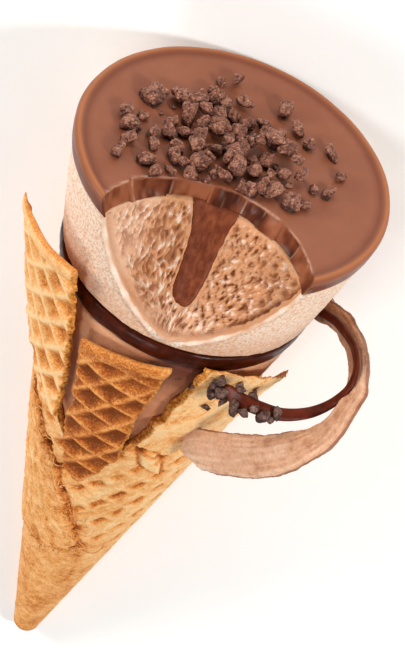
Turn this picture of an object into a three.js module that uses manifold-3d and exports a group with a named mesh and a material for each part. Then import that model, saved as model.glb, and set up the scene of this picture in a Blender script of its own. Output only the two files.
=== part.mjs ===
// A filled ice cream cone, lying on its side with its bitten front up.
//
// From the tip up: a rolled waffle cone with its top broken open, filled with a darker ice cream, a
// layer of dark sauce, a lighter puck of ice cream with a sauce core, and a glaze with brownie bits.
// A bite is taken from the puck and the glaze. Two shards of the wafer lie against the filling, and
// a curl of ice cream and a ribbon of sauce swing out from the side and back to the wafer.
//
// Each piece is built in the cone's own frame, in millimetres: the tip is at the origin, the axis runs
// up +Z to the glaze, the front is -Y, and an azimuth turns from the front towards +X. The group then
// lays the cone down along -Y, with the front up and the wafer's back line on the ground.

import * as THREE from "three";
import { mergeVertices } from "three/addons/utils/BufferGeometryUtils.js";
import Module from "manifold-3d";

// ---- driving dimensions, in millimetres and degrees ----

const FACE_HEIGHT = 161.5; // the tip to the glaze's face, along the axis
const FACE_RADIUS = 31.45;
const HALF_ANGLE = 10.863; // between the axis and the wafer's outside
const APEX_DEPTH = 13.8; // how far below the rounded tip the wafer's slopes would meet
const TIP_RADIUS = 3.4;
const WAFER = 1.6; // the wafer's thickness
const GAP = 0.3; // between neighbouring pieces

const GLAZE_DEPTH = 4.2;
const GLAZE_EDGE = 0.9; // the rounding of the glaze's rim
const PUCK_DEPTH = 26.9; // the glaze's face to the bottom of the puck
const SAUCE_DEPTH = 31.7; // the glaze's face to the bottom of the dark sauce
const FILLING_INSET = 1.9; // the ice cream's side, in from the wafer's outside
const FILLING_TIP = 18; // the height at which the filling starts inside the wafer

const RIDGES = 18; // waffle cells round the cone, along one family of ridges
const CLIMB = 6; // cells that this family climbs in one turn
const CELL_RISE = 0.295; // a cell's height, as a share of the cone's radius there
const CELL_SHIFT = 0.63; // a cell's lean to the side, as a share of its width
const CELL_ROWS = 24;
const PATTERN_FROM = 29; // the height of the lowest row, inside the smooth tip
const PATTERN_FULL = 64; // the height above which the relief is full
const PIT = 0.75; // the depth of a pit below the wafer's mean outside
const RIDGE = 0.25; // the height of a ridge crossing above it
const SHARD_CELL = 4.4; // half a waffle diamond, across a shard and up it
const FLAT = 0.55; // how deep the resting flat cuts into the wafer's back line

const BITE_AZIMUTH = 5;
const BITE_CENTRE = 27.5; // the axis to the middle of the bite
const BITE_HALF_WIDTH = 20.6;
const BITE_REACH = 18.8; // from the bite's middle in towards the axis, at the face
const BITE_DEPTH = 26.3;

// The wafer's upper edge: azimuth and height of each corner of the break.
const BREAK = [
  [-180, 137.5], [-150, 137], [-132, 133], [-118, 127], [-100, 115], [-84, 107], [-68, 102.5],
  [-50, 99], [-38, 95.5], [-27, 90.5], [-12, 84.5], [-4, 85.5], [4, 91], [11, 97], [15, 102],
  [17.5, 106], [18, 109.5], [20.5, 112], [21, 117], [23, 120], [24.5, 124.5], [25, 132.6], [31, 132.9],
  [39, 131.6], [48, 130.2], [58, 128.2], [73, 123.8], [77, 122], [83, 113], [92, 108.5], [122, 110],
  [136, 123], [150, 136], [180, 137.5],
];
const SLANT = 3.5; // degrees by which the inside of the broken edge reaches further than its outside
const FLARE = { azimuth: 73, spread: 44, from: 112, over: 20.6, out: 2 }; // the rim bends out
const SEAM = { proud: 0.6, width: 60, from: 36 }; // the roll's outer layer, left of its winding edge
const FOLD = { azimuth: -80, spread: 45, low: 45, high: 112, out: 0.7 }; // a swelling on the left
const TIP_TOP = 33; // how high the smooth tip reaches

// The shards' outlines: azimuth and height of their corners.
const LEFT_SHARD = [
  [-30.5, 97], [-30.5, 104], [-31.5, 114], [-33, 121], [-34, 131], [-35, 138], [-35.2, 143],
  [-42, 142.2], [-50, 140.8], [-59, 140.2], [-68, 140.4], [-74, 140.8], [-78, 136.5], [-80, 130],
  [-78, 121], [-70, 112.5], [-60, 106], [-48, 100.4], [-43, 98.6], [-36, 97.4],
];
const FRONT_SHARD = [
  [-11.6, 82.1], [-6.4, 81.4], [-2, 84.6], [2.6, 88.8], [7.6, 94.6], [7.2, 100.6], [7.6, 105.3],
  [6.6, 110], [8.2, 117], [9.2, 124.2], [10.2, 131], [-0.8, 129.2], [-8.7, 128.3], [-17.4, 126.8],
  [-26.7, 125.2], [-26, 119.5], [-24.4, 111.3], [-23, 106.5], [-24, 101], [-22.8, 95.6],
  [-19.6, 87.5], [-17, 84.2],
];

const BITE_TURN = THREE.MathUtils.degToRad(BITE_AZIMUTH);
const TAPER = Math.tan(THREE.MathUtils.degToRad(HALF_ANGLE));
const PUCK_BOTTOM = FACE_HEIGHT - PUCK_DEPTH;
const SAUCE_BOTTOM = FACE_HEIGHT - SAUCE_DEPTH;
const GLAZE_BOTTOM = FACE_HEIGHT - GLAZE_DEPTH;

const wasm = await Module();
wasm.setup();

// ---- small helpers ----

const waferRadius = (height) => (height + APEX_DEPTH) * TAPER;
const fillingRadius = (height) => waferRadius(height) - FILLING_INSET;
const smooth = (t) => THREE.MathUtils.smoothstep(t, 0, 1);

function at(azimuth, radius, height) {
  const a = THREE.MathUtils.degToRad(azimuth);
  return new THREE.Vector3(radius * Math.sin(a), -radius * Math.cos(a), height);
}

// A repeatable random number from 0 to 1 for each index and channel.
function chance(index, channel) {
  const x = Math.sin(index * 12.9898 + channel * 78.233 + 1.7) * 43758.5453;
  return x - Math.floor(x);
}

// The value at x on straight lines between the corners [x, y].
function along(corners, x) {
  const next = corners.findIndex((corner, k) => k > 0 && corner[0] >= x);
  const k = next < 0 ? corners.length - 1 : next;
  const [a, b] = [corners[k - 1], corners[k]];
  return THREE.MathUtils.lerp(a[1], b[1], THREE.MathUtils.clamp((x - a[0]) / (b[0] - a[0]), 0, 1));
}

function solidFrom(geometry) {
  const bare = geometry.clone();
  for (const name of Object.keys(bare.attributes)) if (name !== "position") bare.deleteAttribute(name);
  const merged = mergeVertices(bare, 1e-4);
  const vertProperties = merged.attributes.position.array;
  const triVerts = new Uint32Array(merged.index.array);
  const made = new wasm.Manifold(new wasm.Mesh({ numProp: 3, vertProperties, triVerts }));
  if (made.volume() >= 0) return made;
  for (let i = 0; i < triVerts.length; i += 3) {
    [triVerts[i], triVerts[i + 1]] = [triVerts[i + 1], triVerts[i]];
  }
  return new wasm.Manifold(new wasm.Mesh({ numProp: 3, vertProperties, triVerts }));
}

// The largest body of a solid: a cut can leave loose scrap beside it.
const mainBody = (solid) => solid.decompose().sort((a, b) => b.volume() - a.volume())[0];

function geometryFrom(solid) {
  const { vertProperties, triVerts } = solid.getMesh();
  const geometry = new THREE.BufferGeometry();
  geometry.setAttribute("position", new THREE.BufferAttribute(vertProperties, 3));
  geometry.setIndex(new THREE.BufferAttribute(triVerts, 1));
  const flat = geometry.toNonIndexed();
  flat.computeVertexNormals();
  return flat;
}

// A closed solid from points and faces. Each open edge is closed to the pole that poleOf names.
function closedSolid(points, faces, poles, poleOf) {
  const open = new Map();
  for (let i = 0; i < faces.length; i += 3) {
    for (const k of [0, 1, 2]) {
      const [a, b] = [faces[i + k], faces[i + ((k + 1) % 3)]];
      if (!open.delete(`${b} ${a}`)) open.set(`${a} ${b}`, [a, b]);
    }
  }
  for (const [a, b] of open.values()) faces.push(b, a, points.length + poleOf(a));
  const geometry = new THREE.BufferGeometry().setFromPoints([...points, ...poles]);
  geometry.setIndex(faces);
  return solidFrom(geometry);
}

// A closed solid from rings of points, each with as many points.
function ringSolid(rings) {
  const count = rings[0].length;
  const faces = [];
  for (let k = 0; k + 1 < rings.length; k++) {
    for (let j = 0; j < count; j++) {
      const a = k * count + j;
      const b = k * count + ((j + 1) % count);
      faces.push(a, b, b + count, a, b + count, a + count);
    }
  }
  const middle = (ring) => ring.reduce((sum, p) => sum.add(p), new THREE.Vector3()).divideScalar(count);
  const poles = [middle(rings[0]), middle(rings.at(-1))];
  return closedSolid(rings.flat(), faces, poles, (a) => (a < count ? 0 : 1));
}

// A round solid from a profile of [radius, height] pairs, from its lower pole to its upper one.
function roundSolid(profile, segments = 48) {
  const points = profile.map(([radius, height]) => new THREE.Vector2(radius, height));
  const lathe = new THREE.LatheGeometry(points, segments);
  return solidFrom(lathe.rotateX(Math.PI / 2));
}

// Everything inside the wafer's outside, grown by `grow`: it keeps other pieces clear of the cone.
const insideWafer = (grow) => roundSolid([
  [0, -2 - grow], [TIP_RADIUS + grow, 0], [waferRadius(140) + grow, 140], [0, 140],
], 64);

// ---- the waffle cone ----

function flareAt(azimuth, height) {
  const turn = Math.abs(THREE.MathUtils.euclideanModulo(azimuth - FLARE.azimuth + 180, 360) - 180);
  return FLARE.out * smooth((height - FLARE.from) / FLARE.over) * smooth(1 - turn / FLARE.spread);
}

// The outer layer of the roll stands a little proud on the left of its edge, which winds round
// the cone.
const seamAzimuth = (height) => 44 - 1.85 * (height - 40);

function waferStep(azimuth, height) {
  const past = (seamAzimuth(height) - azimuth) / SEAM.width;
  const proud = past < 0 || past > 1 || height < SEAM.from ? 0 : SEAM.proud * (1 - past);
  const round = smooth(1 - Math.abs(azimuth - FOLD.azimuth) / FOLD.spread);
  const fold = round * smooth((height - FOLD.low) / 25) * smooth((FOLD.high - height) / 10);
  return proud + FOLD.out * fold;
}

// The waffle pattern is rolled with the sheet, so its cells wind round the cone and shrink with it.
function waferOutside() {
  const sine = Math.sin(THREE.MathUtils.degToRad(HALF_ANGLE));
  const width = 1 / (RIDGES + CELL_SHIFT * CLIMB);
  const start = Math.log(PATTERN_FROM + APEX_DEPTH) / sine;
  const place = (j, k, out) => {
    const height = Math.exp((start + CELL_RISE * (k - (j * CLIMB) / RIDGES)) * sine) - APEX_DEPTH;
    const azimuth = THREE.MathUtils.euclideanModulo(360 * width * (j + CELL_SHIFT * k) + 180, 360) - 180;
    const relief = out * smooth((height - PATTERN_FULL / 2) / (PATTERN_FULL / 2));
    const underTip = 0.2 * (1 - smooth((height - 31) / 2));
    const mean = waferRadius(height) + flareAt(azimuth, height) + waferStep(azimuth, height);
    return at(azimuth, mean + relief - underTip, height);
  };
  const points = [];
  const known = new Map();
  const corner = (j, k) => (j < RIDGES ? indexOf(j, k, RIDGE) : indexOf(j - RIDGES, k - CLIMB, RIDGE));
  const indexOf = (j, k, out) => {
    const key = `${j} ${k}`;
    if (!known.has(key)) known.set(key, points.push(place(j, k, out)) - 1);
    return known.get(key);
  };
  const faces = [];
  for (let j = 0; j < RIDGES; j++) {
    const first = Math.ceil(((j + 1) * CLIMB) / RIDGES);
    for (let k = first; k < first + CELL_ROWS; k++) {
      const ring = [corner(j, k), corner(j + 1, k), corner(j + 1, k + 1), corner(j, k + 1)];
      const pit = indexOf(j + 0.5, k + 0.5, -PIT);
      ring.forEach((a, side) => faces.push(a, ring[(side + 1) % 4], pit));
    }
  }
  const poles = [new THREE.Vector3(0, 0, 30), new THREE.Vector3(0, 0, 150)];
  return closedSolid(points, faces, poles, (a) => (points[a].z < 90 ? 0 : 1)).add(waferTip());
}

function waferTip() {
  const profile = [-90, -60, -35, -11].map((turn) => {
    const a = THREE.MathUtils.degToRad(turn);
    return [TIP_RADIUS * Math.cos(a), TIP_RADIUS * (1 + Math.sin(a))];
  });
  return roundSolid([...profile, [waferRadius(TIP_TOP), TIP_TOP], [0, TIP_TOP]], 28);
}

function waferHollow() {
  const around = 28;
  return ringSolid([FILLING_TIP - 4, 112, 120, 130, 142].map((height) => (
    Array.from({ length: around }, (_, j) => {
      const azimuth = (360 * j) / around;
      return at(azimuth, waferRadius(height) - WAFER + flareAt(azimuth, height), height);
    }))));
}

// Everything above the broken edge. The wafer's inside reaches further than its outside where the
// break is steep, so its crumb shows.
function aboveBreak() {
  const corners = BREAK.slice(1).flatMap(([azimuth, height], k) => {
    const [before, low] = BREAK[k];
    const length = Math.hypot((azimuth - before) * 0.45, height - low);
    const steps = Math.max(1, Math.round(length / 3.5));
    return Array.from({ length: steps }, (_, i) => {
      const t = (i + 1) / steps;
      const jag = 1.1 * (chance(k * 9 + i, 1) - 0.5);
      return [THREE.MathUtils.lerp(before, azimuth, t), THREE.MathUtils.lerp(low, height, t) + jag];
    });
  });
  const slant = (azimuth) => SLANT * smooth((azimuth - 6) / 8) * smooth((30 - azimuth) / 6);
  const ring = (out, level) => corners.map(([azimuth, height]) => (
    at(azimuth - slant(azimuth) * (out < 0 ? 1 : 0), waferRadius(level ?? height) + out, level ?? height)));
  return ringSolid([ring(-WAFER - 0.9), ring(5), ring(5, 170), ring(-WAFER - 0.9, 170)]);
}

// The overlapping edge of the rolled wafer: a low ragged ridge that winds round the cone.
function waferSeam() {
  const centres = [];
  for (let height = 40; height <= 96; height += 4) {
    const azimuth = seamAzimuth(height) + 5 * (chance(height, 2) - 0.5);
    centres.push(at(azimuth, waferRadius(height) + 0.1, height));
  }
  return sweptSolid(new THREE.CatmullRomCurve3(centres), 16, () => 1.6, () => 0.55, radially);
}

// A broken-off flake of the outer layer, hanging from the break on the right.
function waferFlake() {
  const corners = [[15, 99], [27, 98.5], [34, 94], [38, 88.5], [24, 91.5], [20, 95]];
  const ring = (out) => corners.map(([azimuth, height]) => at(azimuth, waferRadius(height) + out, height));
  return ringSolid([ring(-1.4), ring(1.1)]);
}

function waferCone() {
  return waferOutside().add(waferSeam()).add(waferFlake())
    .subtract(waferHollow()).subtract(aboveBreak()).subtract(belowGround());
}

// A shard is cut from a sheet of waffle by its outline. The sheet lies round a middle place, `lean`
// turns its rows of diamonds, and `out(azimuth, height)` is how far it stands off the cone's outside.
function waferShard({ outline, middle, lean, columns, rows, plainAbove, out, slant }) {
  const [centreAzimuth, centreHeight] = middle;
  const turn = THREE.MathUtils.degToRad(lean);
  const perDegree = THREE.MathUtils.degToRad(waferRadius(centreHeight));
  const outside = [];
  const inside = [];
  for (let k = 0; k <= rows; k++) {
    for (let j = 0; j <= columns; j++) {
      const [across, up] = [(j - columns / 2) * SHARD_CELL, (k - rows / 2) * SHARD_CELL * 0.86];
      const azimuth = centreAzimuth + (across * Math.cos(turn) - up * Math.sin(turn)) / perDegree;
      const height = centreHeight + up * Math.cos(turn) + across * Math.sin(turn);
      const radius = waferRadius(height) + out(azimuth, height);
      const pit = (j + k) % 2 === 1 && up < plainAbove ? PIT : 0;
      outside.push(at(azimuth, radius - pit, height));
      inside.push(at(azimuth, radius - WAFER, height));
    }
  }
  const ring = (depth) => outline.map(([azimuth, height]) => {
    const radius = waferRadius(height) + out(azimuth, height) + depth;
    return at(azimuth + (depth < 0 ? slant(azimuth) : 0), radius, height);
  });
  const sheet = sheetSolid(outside, inside, columns + 1, rows + 1);
  return sheet.intersect(ringSolid([ring(-WAFER - 1), ring(1)]));
}

// A closed solid between two sheets of points, each in `rows` rows of `columns` points.
function sheetSolid(front, back, columns, rows) {
  const faces = [];
  const behind = front.length;
  const quad = (a, b, c, d) => faces.push(a, b, d, a, d, c);
  for (let k = 0; k + 1 < rows; k++) {
    for (let j = 0; j + 1 < columns; j++) {
      const a = k * columns + j;
      const [b, c, d] = [a + 1, a + columns, a + columns + 1];
      if ((j + k) % 2 === 0) faces.push(a, b, d, a, d, c);
      else faces.push(a, b, c, b, d, c);
      faces.push(behind + a, behind + d, behind + b, behind + a, behind + c, behind + d);
    }
    const [left, right] = [k * columns, k * columns + columns - 1];
    quad(behind + left, left, behind + left + columns, left + columns);
    quad(right, behind + right, right + columns, behind + right + columns);
  }
  for (let j = 0; j + 1 < columns; j++) {
    const top = (rows - 1) * columns + j;
    quad(behind + j, behind + j + 1, j, j + 1);
    quad(top, top + 1, behind + top, behind + top + 1);
  }
  const geometry = new THREE.BufferGeometry().setFromPoints([...front, ...back]);
  geometry.setIndex(faces);
  return solidFrom(geometry);
}

// The leaf-shaped shard on the left leans out from its foot, most on its far side.
const leftShard = () => waferShard({
  outline: LEFT_SHARD,
  middle: [-55, 121],
  lean: 0,
  columns: 8,
  rows: 14,
  plainAbove: 19,
  slant: (azimuth) => (azimuth > -33 ? 3 : 0),
  out: (azimuth, height) => {
    const up = THREE.MathUtils.clamp((height - 97) / 47, 0, 1);
    const round = THREE.MathUtils.clamp((-30 - azimuth) / 40, 0, 1);
    return 2.9 + 3.6 * up ** 0.85 * round + (0.7 * round - 0.9) * Math.sin(Math.PI * up);
  },
});

// The shard in front lies with its foot on the wafer and its rim on the filling.
const frontShard = () => waferShard({
  outline: FRONT_SHARD,
  middle: [-9, 106],
  lean: 20,
  columns: 6,
  rows: 16,
  plainAbove: 20,
  slant: (azimuth) => (azimuth > 5 ? 2 : 0),
  out: (azimuth, height) => THREE.MathUtils.lerp(2.9, 1.6, smooth((height - 84) / 45)),
});

// ---- the fillings ----

function lowerIceCream() {
  const top = SAUCE_BOTTOM - GAP;
  return roundSolid([
    [0, FILLING_TIP], [fillingRadius(FILLING_TIP), FILLING_TIP], [fillingRadius(60), 60],
    [fillingRadius(100), 100], [fillingRadius(top - 0.6), top - 0.6], [fillingRadius(top) - 0.7, top],
    [0, top],
  ]);
}

function sauceLayer() {
  const top = PUCK_BOTTOM - GAP;
  const radius = fillingRadius(SAUCE_BOTTOM) + 0.3;
  return roundSolid([
    [0, SAUCE_BOTTOM], [radius - 0.6, SAUCE_BOTTOM], [radius, SAUCE_BOTTOM + 0.7],
    [fillingRadius(top - 1), top - 1], [fillingRadius(top) - 0.6, top], [0, top],
  ]);
}

// How far the bite reaches in from its middle, as a share of its reach, at a depth below the face.
const biteReach = (depth) => Math.max(0.02, 1 - (depth / BITE_DEPTH) ** 1.6);
const biteWidth = (depth) => Math.max(0.02, 1 - (depth / BITE_DEPTH) ** 2);

// The space that the bite takes: half-ellipses that shrink with depth, joined down to a point.
function biteSpace(grow) {
  const around = 44;
  const rings = [];
  for (const depth of [26.2, 25, 23, 20, 16, 12, 8, 4, 1, -4]) {
    const [reach, width] = [biteReach(Math.max(0, depth)), biteWidth(depth)];
    rings.push(Array.from({ length: around }, (_, j) => {
      const a = (2 * Math.PI * j) / around;
      const across = (BITE_HALF_WIDTH * width + grow) * Math.cos(a);
      const outward = BITE_CENTRE + (BITE_REACH * reach + grow) * Math.sin(a);
      return inBite(across, outward, FACE_HEIGHT - depth);
    }));
  }
  return ringSolid(rings);
}

function inBite(across, outward, height) {
  return new THREE.Vector3(across, -outward, height).applyAxisAngle(new THREE.Vector3(0, 0, 1), BITE_TURN);
}

// The glaze breaks along shell-shaped chips, each a few millimetres long.
function glazeBreak() {
  const around = 72;
  const chips = 18;
  const ring = (height, grow) => Array.from({ length: around }, (_, j) => {
    const a = (2 * Math.PI * j) / around;
    const chip = Math.abs(Math.sin((a * chips) / 2)) * 0.7;
    const across = (BITE_HALF_WIDTH + grow + chip) * Math.cos(a);
    return inBite(across, BITE_CENTRE + (BITE_REACH + grow + chip) * Math.sin(a), height);
  });
  return ringSolid([ring(GLAZE_BOTTOM - 2, -0.2), ring(FACE_HEIGHT + 2, 0.5)]);
}

// The core is a flat vein of sauce that narrows downwards, from behind the axis to the bite: depth
// below the face, and half-width.
const CORE_HALF_WIDTHS = [[20.9, 1.2], [20.1, 2], [18, 2.6], [12, 3.2], [GLAZE_DEPTH + GAP, 4.5]];

function corePoints(grow) {
  const rings = [];
  for (const [depth, half] of CORE_HALF_WIDTHS) {
    rings.push(Array.from({ length: 20 }, (_, j) => {
      const a = (2 * Math.PI * j) / 20;
      const outward = 10 + (17 + grow) * Math.sin(a);
      return inBite((half + grow) * Math.cos(a) - 0.3, outward, FACE_HEIGHT - depth - (half < 2 ? grow : 0));
    }));
  }
  return rings;
}

const sauceCore = () => ringSolid(corePoints(0)).subtract(biteSpace(0));

function puck() {
  const top = GLAZE_BOTTOM - GAP;
  const whole = roundSolid([
    [0, PUCK_BOTTOM], [fillingRadius(PUCK_BOTTOM) - 0.8, PUCK_BOTTOM],
    [fillingRadius(PUCK_BOTTOM), PUCK_BOTTOM + 0.9], [fillingRadius(148), 148],
    [FACE_RADIUS - 0.9, top], [0, top],
  ], 64);
  const hole = corePoints(GAP);
  hole.push(hole.at(-1).map((p) => p.clone().setZ(top + 2)));
  return whole.subtract(ringSolid(hole)).subtract(biteSpace(0));
}

// ---- the glaze and its brownie bits ----

// Bits that lie apart from the heap: place across and back from the face's middle, and width.
const APART = [
  [-20.9, 5.9, 2.6], [-18.6, 4.9, 4.4], [-22.5, -2.1, 3.8], [-20.6, -4.7, 3.6], [-19, -0.8, 2.6],
  [-19.8, -8.2, 3.6], [-20.5, -12.8, 3.4], [-15.6, -5, 3.6], [-15, -8.6, 3.8], [-14.6, -11.8, 3.5],
  [-6.4, 20.4, 4.6], [-8.8, 18.6, 2.2], [-2.8, 15.4, 3.5], [4.8, 17.8, 4.2], [8.6, 13.8, 3.4],
  [11.4, 12, 3.4], [15.8, 12.7, 3.4], [20, 7.5, 2.5], [18.6, 1.3, 3.1], [12.5, -5.4, 4],
  [15.4, -4.6, 2.6], [15.8, 0.4, 2.1],
];
const HEAP = { across: -1.4, back: 3.2, halfWidth: 13.5, halfDepth: 9.6, lower: 34, upper: 8 };

// A spiral fills the heap's ellipse evenly, and a second, smaller layer lies on its middle.
function heapedBits() {
  const bits = [];
  const total = HEAP.lower + HEAP.upper;
  for (let i = 0; i < total; i++) {
    const upper = i >= HEAP.lower;
    const order = upper ? i - HEAP.lower : i;
    const share = Math.sqrt((order + 0.5) / (upper ? HEAP.upper : HEAP.lower)) * (upper ? 0.62 : 1);
    const turn = order * 2.39996 + (upper ? 1.1 : 0);
    const x = HEAP.across + HEAP.halfWidth * share * Math.cos(turn) + 1.2 * (chance(i, 3) - 0.5);
    const y = HEAP.back + HEAP.halfDepth * share * Math.sin(turn) + 1.2 * (chance(i, 4) - 0.5);
    bits.push({ x, y, width: 3 + 1.7 * chance(i, 5), lift: upper ? 1.6 : 0 });
  }
  return bits;
}

function brownieBit({ x, y, width, lift }, seed) {
  const rough = new THREE.IcosahedronGeometry(width / 2, 0);
  const place = rough.attributes.position;
  const [long, flat] = [1.05 + 0.25 * chance(seed, 6), 0.72 + 0.2 * chance(seed, 7)];
  for (let i = 0; i < place.count; i++) {
    const p = new THREE.Vector3().fromBufferAttribute(place, i);
    const key = Math.round(p.x * 31 + p.y * 57 + p.z * 91);
    p.multiplyScalar(0.85 + 0.35 * chance(seed + key, 8)).multiply(new THREE.Vector3(long, 1, flat));
    place.setXYZ(i, p.x, p.y, p.z);
  }
  const turned = rough.rotateZ(6.28 * chance(seed, 9));
  return solidFrom(turned.translate(x, y, FACE_HEIGHT + 0.16 * width + lift));
}

function glaze() {
  const whole = roundSolid([
    [0, GLAZE_BOTTOM], [FACE_RADIUS - 0.9, GLAZE_BOTTOM], [FACE_RADIUS - 0.4, GLAZE_BOTTOM + 0.4],
    [FACE_RADIUS, FACE_HEIGHT - GLAZE_EDGE], [FACE_RADIUS - 0.3, FACE_HEIGHT - 0.25],
    [FACE_RADIUS - GLAZE_EDGE, FACE_HEIGHT], [FACE_RADIUS - 3, FACE_HEIGHT - 0.3],
    [0, FACE_HEIGHT - 0.3],
  ], 48);
  const apart = APART.map(([x, y, width]) => ({ x, y, width, lift: 0 }));
  return [...apart, ...heapedBits()].reduce(
    (joined, bit, i) => joined.add(brownieBit(bit, i * 7)),
    whole.subtract(glazeBreak()),
  );
}

// ---- the curl of ice cream and the ribbon of sauce ----

// A swept band: its width lies along `widthway(centre, ahead, t)`, and its thickness across that.
function sweptSolid(curve, steps, width, thickness, widthway, dish = 0) {
  const section = [[-1, 0], [-0.7, 0.9], [0, 1], [0.7, 0.9], [1, 0], [0.7, -0.9], [0, -1], [-0.7, -0.9]];
  const rings = [];
  for (let k = 0; k <= steps; k++) {
    const t = k / steps;
    const centre = curve.getPointAt(t);
    const ahead = curve.getTangentAt(t);
    const side = widthway(centre, ahead, t).clone();
    side.addScaledVector(ahead, -side.dot(ahead)).normalize();
    const face = new THREE.Vector3().crossVectors(side, ahead).normalize();
    rings.push(section.map(([a, b]) => centre.clone()
      .addScaledVector(side, (a * width(t)) / 2)
      .addScaledVector(face, (b * thickness(t)) / 2 + dish * a * a)));
  }
  return ringSolid(rings);
}

const radially = (centre) => new THREE.Vector3(centre.x, centre.y, 0);

function throughPoints(places) {
  return new THREE.CatmullRomCurve3(places.map((p) => at(...p)), false, "centripetal");
}

// Azimuth, distance from the axis and height of each point of the two routes.
const CURL_ROUTE = [
  [114, 28.2, 129], [104, 28.2, 131], [95, 28.4, 133.4], [90.5, 30.2, 134.8], [86, 32.5, 136.1],
  [82, 34.4, 136.8], [78.5, 36.3, 137.3], [74.5, 38.3, 137.6], [70, 40.4, 137.8], [64, 43.1, 137.3],
  [59.5, 44.7, 137.2], [53, 46.5, 134.6], [50.5, 46.6, 132.6], [47.5, 45.9, 130.2], [45.5, 44.3, 126.6],
  [43, 40.7, 121.2], [41, 35.9, 115.6], [39, 31, 110.6], [37.8, 26.9, 106.2], [37.1, 24.6, 102.9],
];
const RIBBON_ROUTE = [
  [103, 27.4, 129.8], [98, 27.4, 132], [90.7, 28, 134.6], [83.1, 31.2, 137.6], [77.7, 34.3, 139],
  [73.5, 36.9, 140], [69.1, 39.3, 140.6], [66.7, 40.8, 139.9], [64.5, 41.8, 138.7], [62.3, 42.3, 137],
  [60.5, 41.7, 134], [57, 41, 132.4], [51.5, 40.4, 132.2], [45.5, 38.9, 131.8], [39.5, 37, 132.2],
  [35.5, 35, 132], [32, 31.4, 130.6], [29, 28.9, 128.3],
];
// Both bands curl in a plane that faces up and forwards, and are tilted out of it by some degrees.
const CURL_FACE = new THREE.Vector3(0, -0.765, 0.644);
const CURL_TILT = [[0, 25], [0.12, 45], [0.2, 60], [0.35, 74], [0.48, 70], [0.62, 32], [0.8, 8], [1, 0]];

// The direction across a band, from the inside of its curl outwards.
function acrossBand(_, ahead, t) {
  const tilt = THREE.MathUtils.degToRad(along(CURL_TILT, t));
  const outward = new THREE.Vector3().crossVectors(CURL_FACE, ahead).normalize();
  return outward.multiplyScalar(Math.cos(tilt)).addScaledVector(CURL_FACE, Math.sin(tilt));
}

// The curl widens along its way and ends rounded, like a spoon.
function curlWidth(t) {
  const end = Math.sqrt(Math.max(0.2, 1 - (Math.max(0, t - 0.93) / 0.07) ** 2));
  return (4.6 + 2.2 * smooth(t / 0.28) + 1.6 * smooth((t - 0.4) / 0.4)) * end;
}

function curlBand(grow) {
  const width = (t) => curlWidth(t) + 2 * grow;
  return sweptSolid(throughPoints(CURL_ROUTE), 36, width, () => 1.6 + 2 * grow, acrossBand, 0.5);
}

const curl = () => curlBand(0).subtract(insideWafer(GAP + 0.35)).subtract(clearOfPuck());

const clearOfPuck = () => roundSolid([
  [0, SAUCE_BOTTOM - 6], [fillingRadius(SAUCE_BOTTOM - 6) + GAP, SAUCE_BOTTOM - 6],
  [fillingRadius(GLAZE_BOTTOM) + GAP, GLAZE_BOTTOM], [0, GLAZE_BOTTOM],
], 64);

// Bits of brownie and chocolate on the ribbon's end: place along the ribbon, offset, width.
const RIBBON_BITS = [
  [1, 1.1, 2.6], [0.99, -0.8, 2.4], [0.963, -1.7, 2.6], [0.952, 0.7, 3.3], [0.944, 1.9, 2.6],
  [0.903, -1.9, 2.4], [0.891, 1.9, 2.8], [0.862, 1.6, 2.7], [0.852, -1.9, 2.3], [0.836, 0.6, 2.2],
  [0.805, 1.1, 2.8], [0.778, 1.3, 2.1], [0.762, -0.3, 3.3],
];

function ribbon() {
  const route = throughPoints(RIBBON_ROUTE);
  const width = (t) => 2.1 + 0.9 * smooth((t - 0.55) / 0.4);
  const band = sweptSolid(route, 30, width, () => 1.3, acrossBand);
  const joined = RIBBON_BITS.reduce((sum, [t, down, size], i) => {
    const out = acrossBand(null, route.getTangentAt(t), t);
    const place = route.getPointAt(t).addScaledVector(out, down).addScaledVector(CURL_FACE, 0.7);
    const bit = brownieBit({ x: 0, y: 0, width: size, lift: 0 }, 900 + i * 7);
    return sum.add(bit.translate([place.x, place.y, place.z - FACE_HEIGHT - 0.16 * size]));
  }, band);
  return joined.subtract(curlBand(GAP)).subtract(insideWafer(GAP + 0.35)).subtract(clearOfPuck());
}

// ---- laying the cone down ----

// The cone's frame to the ground's: the front turns up, and the wafer's back line lies level.
const laid = new THREE.Group();
laid.rotation.set(THREE.MathUtils.degToRad(90 - HALF_ANGLE), 0, Math.PI);
laid.position.z = APEX_DEPTH * Math.sin(THREE.MathUtils.degToRad(HALF_ANGLE)) - FLAT;

// Everything below the ground, in the cone's frame.
function belowGround() {
  laid.updateMatrix();
  const ground = new THREE.BoxGeometry(400, 400, 40).translate(0, 0, -20);
  return solidFrom(ground.applyMatrix4(laid.matrix.clone().invert()));
}

// ---- the model ----

const material = (color, roughness) => new THREE.MeshStandardMaterial({ color, roughness, metalness: 0 });
const WAFER_LOOK = material(0xdda75f, 0.8);
const PUCK_LOOK = material(0xe3b690, 0.7);
const LOWER_LOOK = material(0xb98470, 0.65);
const SAUCE_LOOK = material(0x451c11, 0.25);
const CORE_LOOK = material(0x8e563f, 0.5);
const GLAZE_LOOK = material(0xa2674c, 0.3);

const PIECES = [
  ["wafer_cone", waferCone, WAFER_LOOK],
  ["wafer_shard_left", leftShard, WAFER_LOOK],
  ["wafer_shard_front", frontShard, WAFER_LOOK],
  ["ice_cream_lower", lowerIceCream, LOWER_LOOK],
  ["sauce_layer", sauceLayer, SAUCE_LOOK],
  ["ice_cream_puck", puck, PUCK_LOOK],
  ["sauce_core", sauceCore, CORE_LOOK],
  ["glaze", glaze, GLAZE_LOOK],
  ["ice_cream_curl", curl, PUCK_LOOK],
  ["sauce_ribbon", ribbon, SAUCE_LOOK],
];

for (const [name, build, look] of PIECES) {
  const mesh = new THREE.Mesh(geometryFrom(mainBody(build())), look);
  mesh.name = name;
  laid.add(mesh);
}

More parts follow.
